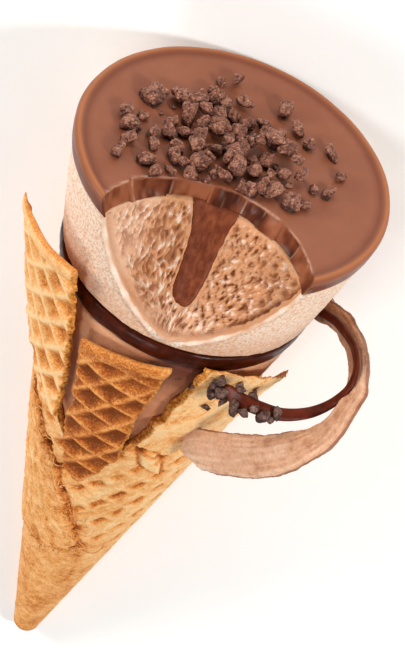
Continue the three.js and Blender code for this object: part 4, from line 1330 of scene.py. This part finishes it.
def chip_at(turn):
    """The chip that lies at each angle, and how far across it the angle is."""
    chip = np.clip(np.searchsorted(CHIPS, turn, side="right") - 1, 0, len(CHIPS) - 2)
    low, high = np.array(CHIPS)[chip], np.array(CHIPS)[chip + 1]
    return chip, np.clip((turn - low) / (high - low), 0, 1)


def glaze_tool():
    turn = np.concatenate([np.arange(-8, 190, 0.35), np.arange(190, 352, 9.0)])
    chip, share = chip_at(turn)
    tilt, twist, hollow, _ = np.array(CHIP_SHAPES)[chip].T
    place = np.column_stack([turn / 3, 0 * turn, 0 * turn])
    top = from_table(BREAK_TOP, turn) + 0.011 * fractal(place, 1.2, 3, 125)
    bottom = 0.965 + 0.006 * fractal(place, 2.5, 2, 127)
    a = np.radians(turn)
    rings = []
    for level in np.concatenate([[-1.5], np.linspace(0, 1, 17), [1.6]]):
        t = float(np.clip(level, 0, 1))
        height = FACE_HEIGHT - GLAZE_DEPTH + (GLAZE_DEPTH - (SUNK if 0 <= level <= 1 else 0)) * level
        e = lerp(bottom + tilt, top, t ** 0.9) + twist * (share - 0.5) * (1 - 0.8 * t)
        e = e + hollow * np.sin(np.pi * share) * math.sin(math.pi * t ** 0.8)
        e = e + 0.0035 * noise(np.column_stack([turn * 0.4, 0 * turn + t, 0 * turn]), 1, 129)
        rings.append(in_bite(
            BITE_HALF_WIDTH * e * np.cos(a), BITE_CENTRE - BITE_REACH * e * np.sin(a), height))
    return capped(np.stack(rings))


def glaze_block():
    """The glaze's disc, slightly wavy, with its broken edge cut out."""
    low = FACE_HEIGHT - GLAZE_DEPTH
    profile = spaced([(3, low), (26, low)], 4) + spaced([
        (FACE_RADIUS - 1.6, low), (FACE_RADIUS - 0.75, low + 0.12), (FACE_RADIUS - 0.4, low + 0.5),
        (FACE_RADIUS - 0.1, low + 2.2), (FACE_RADIUS, FACE_HEIGHT - 0.95),
    ], 0.35)
    profile += [
        (FACE_RADIUS - 0.06, FACE_HEIGHT - 0.6), (FACE_RADIUS - 0.25, FACE_HEIGHT - 0.27),
        (FACE_RADIUS - 0.55, FACE_HEIGHT - 0.07), (FACE_RADIUS - 0.9, FACE_HEIGHT),
        (FACE_RADIUS - 1.25, FACE_HEIGHT - 0.05), (FACE_RADIUS - 1.65, FACE_HEIGHT - 0.22),
        (FACE_RADIUS - 2.1, FACE_HEIGHT - 0.4), (FACE_RADIUS - 2.7, FACE_HEIGHT - 0.46),
        (FACE_RADIUS - 3.6, FACE_HEIGHT - 0.42), (FACE_RADIUS - 5.2, FACE_HEIGHT - 0.34),
    ]
    profile += spaced([(FACE_RADIUS - 6, FACE_HEIGHT - 0.31), (0.8, FACE_HEIGHT - SUNK)], 0.8)
    points, faces = lathe(profile, azimuths(1.2, 2))
    drift = smooth((points[:, 2] - low - 1) / 2)
    points[:, 2] += 0.10 * drift * fractal(points, (11, 11, 30), 2, 121)
    side = np.hypot(points[:, 0], points[:, 1]) > FACE_RADIUS - 1
    grow = 1 + side * 0.0035 * fractal(points, (7, 7, 4), 2, 123)
    points[:, :2] *= grow[:, None]
    points, faces, _ = merged(*cut((points, faces), glaze_tool()), {}, within=2e-3)
    return points, faces


def glaze_marks(points):
    """Where the glaze is broken; each chip's tone, partly painted light and shade; a painted highlight
    along the rim; a band of painted shade inside the rim, darker down the side; and painted highlights
    on the broken edges.
    """
    across, outward = from_bite(points)
    e = np.hypot(across / BITE_HALF_WIDTH, (outward - BITE_CENTRE) / BITE_REACH)
    radial = np.hypot(points[:, 0], points[:, 1])
    depth = FACE_HEIGHT - points[:, 2]
    broken = smooth((1.09 - e) / 0.02) * smooth((depth - 0.55) / 0.5) * (radial < FACE_RADIUS - 0.12)
    # A painted highlight along the rounded rim.
    rim = bell(radial - FACE_RADIUS + 0.8, 0.4) * (depth < 0.6)
    turn = np.degrees(np.arctan2(BITE_CENTRE - outward, across))
    # Each chip's tone, lighter or darker across it and at random: partly its own, partly painted light
    # and shade.
    tone_and_painted_shading = sum(np.array(CHIP_SHAPES)[chip_at(turn + k)[0], 3] for k in (-0.9, 0, 0.9)) / 3
    chip, share = chip_at(turn)
    tone_and_painted_shading = 0.05 + 0.72 * tone_and_painted_shading + 0.6 * (share - 0.5) * np.where(chip % 2, 1, -1)
    tone_and_painted_shading += 0.3 * noise(np.column_stack([turn * 0.35, depth * 0.5, 0 * turn]), 1, 131)
    # A band of painted shade inside the rim's lip, darker down the side below the rim, and a lighter
    # line low on the side.
    darker = 0.5 * bell(radial - FACE_RADIUS + 2.1, 0.7) * (depth < 1.2)
    darker += 0.75 * smooth((depth - 0.9) / 0.8) * smooth((radial - FACE_RADIUS + 1.2) / 0.3)
    darker -= 0.45 * bell(depth - 3.4, 0.3) * (radial > FACE_RADIUS - 1)
    top_edge = from_table(BREAK_TOP, turn)
    # Painted highlights along the broken top edge and where the chips meet, in patches.
    line = bell(e - top_edge, 0.009) * (depth < 0.75) * (radial < FACE_RADIUS - 1.5)
    ridge = bell(np.abs(turn[:, None] - np.array(CHIPS)).min(1), 0.5) * broken
    patchy = smooth(0.7 + 1.2 * noise(points, 2.6, 133))
    return {
        "broken": np.clip(broken, 0, 1), "rim": 0.62 * rim, "tone_and_painted_shading": tone_and_painted_shading, "band": np.clip(darker, 0, 1),
        "edge": (0.5 * line + 0.35 * ridge) * patchy,
    }


def glaze():
    points, faces = glaze_block()
    marks = glaze_marks(points)
    make_piece("Glaze", points, faces, GLAZE_LOOK, ["glaze"], "glaze", marks, crease=34)


# Bits of brownie: place across and back from the face's middle, and width.
APART = [
    (-21.1, 6.3, 2.5), (-19.0, 5.6, 4.2), (-22.5, -1.2, 3.5), (-19.2, -0.2, 2.4), (-20.6, -4.3, 4.0),
    (-19.7, -8.0, 3.5), (-20.5, -12.3, 3.5), (-14.9, -11.3, 3.7), (-12.6, -13.4, 3.3),
    (-15.0, -7.1, 3.7), (-16.0, -3.4, 3.5), (-10.2, -11.2, 2.7), (-6.4, 21.0, 4.4), (-9.0, 19.1, 2.1),
    (-3.0, 15.4, 3.7), (4.5, 18.3, 4.4), (8.5, 14.3, 3.8), (11.6, 12.3, 3.2), (16.0, 12.8, 3.5),
    (19.8, 7.5, 2.5), (18.7, 1.6, 3.1), (15.7, 0.9, 2.0), (12.6, -5.6, 3.9), (15.3, -4.2, 2.6),
]
HEAPED = [
    (-14.2, 9.3, 4.3), (-11.5, 12.5, 2.7), (-11.3, 9.1, 3.7), (-11.5, 4.5, 4.3), (-12.7, 5.6, 2.2),
    (-9.2, 7.9, 2.9), (-6.7, 9.9, 3.0), (-8.2, 13.1, 3.7), (-9.6, 14.5, 2.0), (-6.0, 12.2, 2.4),
    (-5.6, 6.5, 4.0), (-3.7, 10.4, 2.9), (-1.9, 6.7, 3.2), (-0.7, 10.1, 3.0), (2.0, 12.0, 2.9),
    (1.1, 7.7, 2.5), (3.2, 9.5, 3.7), (5.5, 10.3, 2.3), (-13.3, -1.6, 3.2), (-10.9, 0.2, 2.9),
    (-8.3, 0.9, 4.3), (-11.2, -4.4, 2.8), (-11.0, -7.0, 3.5), (-8.8, -8.1, 2.4), (-6.4, -6.4, 4.2),
    (-6.7, -10.2, 3.5), (-4.6, -0.8, 3.6), (-4.6, -4.7, 2.4), (-2.7, 2.4, 4.0), (0.0, 4.1, 3.0),
    (1.3, 4.5, 3.0), (-0.6, -0.1, 4.6), (2.9, 5.1, 3.3), (5.8, 6.0, 4.4), (8.2, 8.9, 3.3),
    (8.3, 4.6, 3.7), (5.8, 2.2, 3.2), (3.0, 0.8, 2.8), (-2.5, -6.4, 3.1), (-0.9, -7.1, 2.9),
    (0.9, -4.0, 4.3), (4.3, -1.8, 4.0), (7.1, -1.2, 3.1), (-3.4, -9.2, 2.2), (9.6, 0.0, 3.1),
    (12.4, 1.4, 4.0), (10.7, 3.0, 2.5), (3.1, -7.4, 3.2), (4.9, -7.9, 3.0), (6.5, -6.8, 2.5),
    (8.8, -4.8, 3.9), (6.7, -4.2, 2.5), (-8.6, 4.4, 3.3), (-5.8, 3.4, 3.2), (-8.0, -3.6, 3.3),
    (-14.3, 1.5, 2.6), (-1.6, -3.2, 3.1),
]


def ball(levels):
    """The points and triangles of a round ball of radius 1, from a split icosahedron."""
    gold = (1 + 5 ** 0.5) / 2
    points = [(-1, gold, 0), (1, gold, 0), (-1, -gold, 0), (1, -gold, 0), (0, -1, gold), (0, 1, gold),
              (0, -1, -gold), (0, 1, -gold), (gold, 0, -1), (gold, 0, 1), (-gold, 0, -1), (-gold, 0, 1)]
    faces = [(0, 11, 5), (0, 5, 1), (0, 1, 7), (0, 7, 10), (0, 10, 11), (1, 5, 9), (5, 11, 4),
             (11, 10, 2), (10, 7, 6), (7, 1, 8), (3, 9, 4), (3, 4, 2), (3, 2, 6), (3, 6, 8), (3, 8, 9),
             (4, 9, 5), (2, 4, 11), (6, 2, 10), (8, 6, 7), (9, 8, 1)]
    points = [np.array(p) / np.linalg.norm(p) for p in points]
    for _ in range(levels):
        middles, split = {}, []
        for face in faces:
            halves = []
            for a, b in zip(face, face[1:] + face[:1]):
                key = (min(a, b), max(a, b))
                if key not in middles:
                    half = points[a] + points[b]
                    middles[key] = len(points)
                    points.append(half / np.linalg.norm(half))
                halves.append(middles[key])
            (a, b, c), (ab, bc, ca) = face, halves
            split += [(a, ab, ca), (b, bc, ab), (c, ca, bc), (ab, bc, ca)]
        faces = split
    return np.array(points), np.array(faces)


BALL = ball(3)
FACETS = 11  # broken planes on each bit
SMALL_CRUMBS = 26  # draws; those that would fall into the bite are left out


def turned(points, seed):
    """Points turned by a repeatable angle about each axis."""
    a, b, c = (2 * math.pi * float(chance(seed, channel)) for channel in (31, 32, 33))
    turn = Matrix.Rotation(a, 3, "X") @ Matrix.Rotation(b, 3, "Y") @ Matrix.Rotation(c, 3, "Z")
    return points @ np.array(turn).T


def crumb_lump(width, seed, flat=0.8, porous=1.0, cobbled=0.1):
    """A broken lump of brownie: cobbled, flattened by a few planes, and full of small pores."""
    sphere, faces = BALL
    shape = sphere * (1 + 0.5 * fractal(sphere + seed * 3.1, 0.95, 2, 131))[:, None]
    for k in range(FACETS):
        plane = turned(np.array([[0, 0, 1.0]]), seed * 13 + k)[0]
        over = np.maximum(shape @ plane - 0.46 - 0.3 * float(chance(seed + k * 3, 34)), 0)
        shape = shape - over[:, None] * plane * 0.92
    cobble, _ = cells(shape + seed * 2.3, 0.72, 132)
    shape = shape + sphere * (cobbled * (0.5 - cobble))[:, None]
    shape = turned(shape * np.array([1.15 + 0.35 * float(chance(seed, 35)), 1.0, 0.8]), seed)
    shape[:, 2] *= flat
    shape *= width / 2 / np.abs(shape[:, :2]).max() * 1.08
    out = shape / np.maximum(np.linalg.norm(shape, axis=1, keepdims=True), 1e-9)
    near, own = cells(shape + seed * 7.7, 0.6, 133)
    pore = smooth(1 - near / (0.25 + 0.3 * own)) * (own > 0.3) * porous
    grit = fractal(shape + seed * 5.3, 0.6, 2, 135)
    shape = shape + out * (0.13 * grit - 0.24 * pore)[:, None] * min(1, width / 2.5)
    crevice = smooth((cobble - 0.52) / 0.2)
    # Painted light on the sides turned up, more on some bits than others.
    painted_light_on_top = smooth((out[:, 2] + 0.2) / 0.8) * smooth((grit + 0.5) / 0.8)
    # The pore mark darkens the pores, the crevices and the low grit, and paints shade on the underside.
    marks = {
        "pore": np.clip(
            0.7 * pore + 0.4 * crevice + 0.35 * smooth((-grit - 0.2) / 0.4)
            + 0.75 * smooth((0.25 - out[:, 2]) / 0.8), 0, 0.88),
        "painted_light_on_top": painted_light_on_top * (0.1 + 0.6 * float(chance(seed, 36))),
    }
    return shape, faces, marks


def brownie_bits():
    bits, heights = [], []
    order = [(place, 0) for place in APART] + [(place, 1) for place in HEAPED]
    for seed, ((across, back, width), heaped) in enumerate(order):
        lift = 0.36 * width
        for (x, y, w), z in heights:
            near = math.hypot(across - x, back - y) / (0.5 * (width + w))
            if heaped and near < 0.95:
                lift = max(lift, min(z + (0.95 - near) * 0.62 * (width + w) / 2 + 0.1, 4.0))
        heights.append(((across, back, width), lift))
        shape, faces, marks = crumb_lump(width * (1.16 if heaped else 1.05), seed)
        place = np.array([across, back, FACE_HEIGHT - 0.35 + lift])
        bits.append((shape + place, faces, marks))
    for k in range(SMALL_CRUMBS):
        angle, share = 2 * math.pi * float(chance(k, 37)), math.sqrt(float(chance(k, 38)))
        across, back = -2 + 17 * share * math.cos(angle), 2.5 + 12.5 * share * math.sin(angle)
        if back < -5.5:
            continue
        width = 0.7 + 0.9 * float(chance(k, 39))
        shape, faces, marks = crumb_lump(width, 500 + k, porous=0.4)
        bits.append((shape + np.array([across, back, FACE_HEIGHT - 0.3 + 0.3 * width]), faces, marks))
    points, faces, marks = joined(bits)
    make_piece("BrownieBits", points, faces, BROWNIE_LOOK, ["glaze"], "glaze", marks)


# ---- the curl of ice cream and the ribbon of sauce ----

# Azimuth, distance from the axis and height of each point of the two routes.
CURL_ROUTE = [
    (114, 28.2, 129), (104, 28.2, 131), (95, 28.4, 133.4), (90.5, 30.2, 134.8), (86, 32.5, 136.1),
    (82, 34.4, 136.8), (78.5, 36.3, 137.3), (74.5, 38.3, 137.6), (70, 40.4, 137.8), (64, 43.1, 137.3),
    (59.5, 44.7, 137.2), (53, 46.5, 134.6), (50.5, 46.6, 132.6), (47.5, 45.9, 130.2),
    (45.5, 44.3, 126.6), (43, 40.7, 121.2), (41, 35.9, 115.6), (39, 31, 110.6), (37.8, 26.9, 106.2),
    (37.1, 24.6, 102.9),
]
RIBBON_ROUTE = [
    (103, 27.4, 129.8), (98, 27.4, 132), (90.7, 28, 134.6), (83.1, 31.2, 137.6), (77.7, 34.3, 139),
    (73.5, 36.9, 140), (69.1, 39.3, 140.6), (66.7, 40.8, 139.9), (64.5, 41.8, 138.7),
    (62.3, 42.3, 137), (60.5, 41.7, 134), (57, 41, 132.4), (51.5, 40.4, 132.2), (45.5, 38.9, 131.8),
    (39.5, 37, 132.2), (35.5, 35, 132), (32, 31.4, 130.6), (29, 28.9, 128.3),
]
CURL_FACE = np.array([0, -0.765, 0.644])
CURL_TILT = [(0, 25), (0.12, 45), (0.2, 60), (0.35, 74), (0.48, 70), (0.62, 32), (0.8, 8), (1, 0)]


def curve_through(route, count):
    """Evenly spaced points on a smooth curve through the route's points, and the way ahead."""
    places = np.array([at(*p) for p in route])
    ends = np.vstack([2 * places[0] - places[1], places, 2 * places[-1] - places[-2]])
    knots = np.concatenate([[0], np.cumsum(np.linalg.norm(np.diff(ends, axis=0), axis=1) ** 0.5)])
    dense = []
    for i in range(1, len(ends) - 2):
        t0, t1, t2, t3 = knots[i - 1:i + 3]
        p0, p1, p2, p3 = ends[i - 1:i + 3]
        t = np.linspace(t1, t2, 24, endpoint=i == len(ends) - 3)[:, None]
        a1 = (t1 - t) / (t1 - t0) * p0 + (t - t0) / (t1 - t0) * p1
        a2 = (t2 - t) / (t2 - t1) * p1 + (t - t1) / (t2 - t1) * p2
        a3 = (t3 - t) / (t3 - t2) * p2 + (t - t2) / (t3 - t2) * p3
        b1 = (t2 - t) / (t2 - t0) * a1 + (t - t0) / (t2 - t0) * a2
        b2 = (t3 - t) / (t3 - t1) * a2 + (t - t1) / (t3 - t1) * a3
        dense.append((t2 - t) / (t2 - t1) * b1 + (t - t1) / (t2 - t1) * b2)
    dense = np.vstack(dense)
    length = np.concatenate([[0], np.cumsum(np.linalg.norm(np.diff(dense, axis=0), axis=1))])
    even = np.linspace(0, length[-1], count)
    centres = np.stack([np.interp(even, length, dense[:, k]) for k in range(3)], 1)
    ahead = np.gradient(centres, axis=0)
    return centres, ahead / np.linalg.norm(ahead, axis=1, keepdims=True), even / length[-1]


def across_band(ahead, t):
    tilt = from_table(CURL_TILT, t)
    reach = max(3, len(t) // 14)
    padded = np.pad(tilt, reach, mode="edge")
    tilt = np.convolve(padded, np.hanning(2 * reach + 1) / reach, mode="valid")
    tilt = np.radians(tilt)[:, None]
    outward = np.cross(CURL_FACE, ahead)
    outward /= np.linalg.norm(outward, axis=1, keepdims=True)
    side = outward * np.cos(tilt) + CURL_FACE * np.sin(tilt)
    side -= ahead * (side * ahead).sum(1, keepdims=True)
    return side / np.linalg.norm(side, axis=1, keepdims=True)


def band(route, steps, section, width, thickness, dish, relief):
    """A band swept along a route; `section` holds the cross-section's points, from -1 to 1."""
    centres, ahead, t = curve_through(route, steps)
    side = across_band(ahead, t)
    face = np.cross(side, ahead)
    a, b = section.T
    along = np.repeat(t[:, None], len(a), 1)
    half_width, half_depth = width(t)[:, None] / 2, thickness(t)[:, None] / 2
    more = relief(along, np.broadcast_to(a, along.shape), np.broadcast_to(b, along.shape))
    wide = a * (half_width + np.abs(a) ** 6 * more)
    deep = b * (half_depth + more) + dish * a * a
    rings = centres[:, None] + side[:, None] * wide[..., None] + face[:, None] * deep[..., None]
    return capped(rings), along, np.broadcast_to(a, along.shape)


def oval(count, square):
    """Points round a flat cross-section with soft corners."""
    turn = np.linspace(0, 2 * np.pi, count, endpoint=False)
    round_one = np.stack([np.cos(turn), np.sin(turn)], 1)
    return np.sign(round_one) * np.abs(round_one) ** (2 * square)


def curl_place(t, a, b):
    """Places for the curl's noise, drawn out along it."""
    return np.stack([t * 95, a * 4, np.sign(b) * 3], 1)


def curl_lines(place):
    return fractal(place, (9, 0.6, 5), 3, 141)


def curl():
    def width(t):
        end = np.sqrt(np.maximum(0.02, 1 - (np.maximum(0, t - 0.93) / 0.07) ** 2))
        return (4.6 + 2.2 * smooth(t / 0.28) + 1.6 * smooth((t - 0.4) / 0.4)) * end

    def relief(t, a, b):
        place = curl_place(t.ravel(), a.ravel(), b.ravel())
        lines = curl_lines(place) + 0.6 * fractal(place, (4, 0.35, 5), 2, 143)
        lumps = fractal(place, 0.9, 3, 145)
        out = 0.22 * lines + 0.12 * lumps
        ragged = 0.45 * np.abs(a.ravel()) ** 8 * fractal(place, (3, 9, 9), 3, 147)
        return (out + ragged).reshape(t.shape)

    (points, faces), t, a = band(
        CURL_ROUTE, 420, oval(110, 0.36), width, lambda t: 1.6 + 0 * t, 0.5, relief)
    tail = len(points) - t.size
    t, a = (np.concatenate([values.ravel(), values.ravel()[[0, -1]][:tail]]) for values in (t, a))
    lines = curl_lines(curl_place(t, a, 0 * a))
    # Painted shade near the root, where the curl comes out from behind the puck; the streaks are darker
    # and lighter, the edges darker and the end lighter.
    root = smooth(1 - t / 0.28)
    edge = smooth((np.abs(a) - 0.93) / 0.05)
    marks = {
        "pores": 0.3,
        "deep": np.clip(
            0.3 * smooth((-lines - 0.1) / 0.3) * (0.45 + root) + 0.4 * root + 0.7 * edge, 0, 0.9),
        "light": (0.4 * smooth((lines - 0.05) / 0.3) + 0.3 * smooth((t - 0.7) / 0.2)) * (1 - root),
    }
    make_piece("Curl", points, faces, CURL_LOOK, ["ice_cream_curl"], "ice_cream_light", marks)


def ribbon_width(t):
    return 2.1 + 0.9 * smooth((t - 0.55) / 0.4)


def sauce_ribbon():
    def relief(t, a, b):
        place = np.stack([t.ravel() * 80, a.ravel() * 1.5, np.sign(b).ravel() * 2], 1)
        return (0.07 * fractal(place, (9, 1.0, 3), 3, 151)).reshape(t.shape)

    (points, faces), t, _ = band(
        RIBBON_ROUTE, 220, oval(28, 0.34), ribbon_width, lambda t: 0.85 + 0 * t, 0.0, relief)
    make_piece(
        "SauceRibbon", points, faces, RIBBON_LOOK, ["sauce_ribbon"], "sauce", {"thin": 0.0})


# Bits on the ribbon's end: place along the ribbon, offset across it, and width.
RIBBON_BITS = [
    (1, 1.1, 2.6), (0.99, -0.8, 2.4), (0.963, -1.7, 2.6), (0.952, 0.7, 3.3), (0.944, 1.9, 2.6),
    (0.903, -1.9, 2.4), (0.891, 1.9, 2.8), (0.862, 1.6, 2.7), (0.852, -1.9, 2.3), (0.836, 0.6, 2.2),
    (0.805, 1.1, 2.8), (0.778, 1.3, 2.1), (0.762, -0.3, 3.3),
]
# Bits that lie on the wafer beside the ribbon: azimuth, height and width.
LOOSE_BITS = [
    (40.8, 128.4, 1.9), (51.5, 124.8, 1.8), (46, 123.2, 1.5), (30.6, 130.6, 2.2), (33, 120, 2.1),
    (21.5, 127.4, 1.3),
]


def ribbon_bits():
    centres, ahead, t = curve_through(RIBBON_ROUTE, 400)
    side = across_band(ahead, t)
    bits = []
    for seed, (share, down, size) in enumerate(RIBBON_BITS):
        k = min(int(share * 399), 399)
        place = centres[k] + side[k] * down + CURL_FACE * 0.75
        shape, faces, marks = crumb_lump(size, 300 + seed, 0.9, porous=0.5, cobbled=0.06)
        bits.append((shape + place, faces, marks))
    for seed, (azimuth, height, size) in enumerate(LOOSE_BITS):
        shape, faces, marks = crumb_lump(size, 340 + seed, porous=0.5, cobbled=0.06)
        stand = 1.1 + flare_at(azimuth, height)
        bits.append((shape + at(azimuth, wafer_radius(height) + stand, height), faces, marks))
    points, faces, marks = joined(bits)
    make_piece("RibbonBits", points, faces, CHOCOLATE_LOOK, ["sauce_ribbon"], "sauce", marks)


# ---- camera, light and floor ----

CAMERA = {
    "rise": 0.70028,  # above the glaze's face
    "roll": 0.42869,
    "distance": 400,  # mm from the middle of the face
    "focal": 2112.46,  # pixels
    "target": (236.004, 159.515),  # the pixel at which the middle of the face lies
}
IMAGE = (405, 658)
SENSOR = 36


def turned_frame():
    """The rotation part of laid()."""
    return np.array([[-1, 0, 0], [0, -SIN, -COS], [0, -COS, SIN]])


def set_camera():
    rise, roll = CAMERA["rise"], CAMERA["roll"]
    back = np.array([0, -math.cos(rise), math.sin(rise)])
    up = np.array([0, 0, 1]) - back * back[2]
    up /= np.linalg.norm(up)
    right = np.cross(up, back)
    up, right = (
        math.cos(roll) * up - math.sin(roll) * right, math.cos(roll) * right + math.sin(roll) * up,
    )
    offset = np.array([
        (CAMERA["target"][0] - IMAGE[0] / 2) / CAMERA["focal"],
        -(CAMERA["target"][1] - IMAGE[1] / 2) / CAMERA["focal"], -1,
    ])
    ray = offset / np.linalg.norm(offset)
    swing = Vector((0, 0, -1)).rotation_difference(Vector(ray)).to_matrix()
    axes = np.array(swing) @ np.stack([right, up, back])
    place = np.array([0, 0, FACE_HEIGHT]) - axes.T @ (ray * CAMERA["distance"])
    world_axes = axes @ turned_frame().T
    camera = bpy.data.objects.new("Camera", bpy.data.cameras.new("Camera"))
    camera.data.sensor_width = SENSOR
    camera.data.lens = CAMERA["focal"] / IMAGE[1] * SENSOR
    camera.data.clip_start, camera.data.clip_end = 0.01, 20
    matrix = Matrix(world_axes.T.tolist()).to_4x4()
    matrix.translation = Vector(laid(place[None])[0])
    camera.matrix_world = matrix
    bpy.context.scene.collection.objects.link(camera)
    bpy.context.scene.camera = camera


SKY = 0.28  # the strength of the white sky
FLOOR_REACH = 2.0  # metres from the middle to each side
WARM = (1, 0.98, 0.95)
# Each light's name, direction, distance and size in metres, power and colour.
LIGHTS = [
    ("Key", (-0.62, -0.42, 0.66), 0.9, 0.14, 4.6, WARM),
    ("Left", (0.80, -0.30, 0.42), 0.9, 0.3, 4.0, WARM),
    ("Front", (0.1, -0.95, 0.30), 0.9, 0.4, 1.6, WARM),
    ("Top", (0.20, 0.42, 0.85), 1.0, 0.4, 3.4, (1, 0.99, 0.97)),
]


def area_light(name, towards, distance, size, power, colour):
    light = bpy.data.lights.new(name, "AREA")
    light.shape, light.size, light.energy, light.color = "DISK", size, power, colour
    lamp = bpy.data.objects.new(name, light)
    direction = Vector(towards).normalized()
    lamp.location = direction * distance
    lamp.rotation_euler = direction.to_track_quat("Z", "Y").to_euler()
    bpy.context.scene.collection.objects.link(lamp)


def set_studio():
    world = bpy.data.worlds.new("Studio")
    world.use_nodes = True
    background = world.node_tree.nodes["Background"].inputs
    background["Color"].default_value, background["Strength"].default_value = (1, 1, 1, 1), SKY
    bpy.context.scene.world = world
    for light in LIGHTS:
        area_light(*light)

    look = Look("Floor")
    colour = look.between(look.noise(60, 3), "FBFBFA", "FFFFFF")
    roughness = look.between(look.noise(20, 2), 0.7, 0.85)
    look.finish(colour, roughness, look.bump(look.noise(2, 2), 0.02))
    corners = FLOOR_REACH * np.array([(-1, -1, 0), (1, -1, 0), (1, 1, 0), (-1, 1, 0)], float)
    mesh = to_mesh("Floor", corners, np.array([(0, 1, 2), (0, 2, 3)]))
    mesh.materials.append(look.material)
    floor = bpy.data.objects.new("Floor", mesh)
    bpy.context.scene.collection.objects.link(floor)
    view = bpy.context.scene.view_settings
    view.view_transform, view.look = "Standard", "None"


# ---- the whole ----

WAFER_LOOK = wafer_look()
# The fourth colour of each ice cream is the one its deep mark mixes in: painted shade, and darker tone
# in places.
LIGHT_ICE_LOOK = ice_cream_look(
    "LightIceCream", [(0.28, "DE9C66"), (0.5, "DBA177"), (0.72, "FFEEDD")], "E3B48E", "94562F",
    0.55, 0.3)
CURL_LOOK = ice_cream_look(
    "CurlIceCream", [(0.28, "B57A57"), (0.5, "E0AA86"), (0.72, "FBD8BC")], "EABA99", "7A3F26",
    0.6, 0.45)
DARK_ICE_LOOK = ice_cream_look(
    "DarkIceCream", [(0.28, "B57450"), (0.5, "C4835E"), (0.72, "DCA47C")], "D0946E", "541D10",
    0.8, 0.2)
SAUCE_LOOK = sauce_look("Sauce", [(0.3, "2E0D04"), (0.7, "4C1A09")], 0.32)
RIBBON_LOOK = sauce_look("Ribbon", [(0.3, "461609"), (0.7, "682815")], 0.36)
CORE_LOOK = core_look()
GLAZE_LOOK = glaze_look()
# The last colour of each is the painted light on the bits' upturned sides.
BROWNIE_LOOK = brownie_look(
    "Brownie", [(0.32, "34150C"), (0.5, "874B36"), (0.66, "D4957B")], "C08A70")
CHOCOLATE_LOOK = brownie_look(
    "ChocolateBits", [(0.32, "221210"), (0.5, "58382F"), (0.66, "8C675A")], "A08074")

for build in (
    set_camera, set_studio, wafer_cone, seam_threads, left_shard, front_shard, lower_ice_cream,
    sauce_layer, puck, sauce_core, glaze, brownie_bits, curl, sauce_ribbon, ribbon_bits,
):
    build()
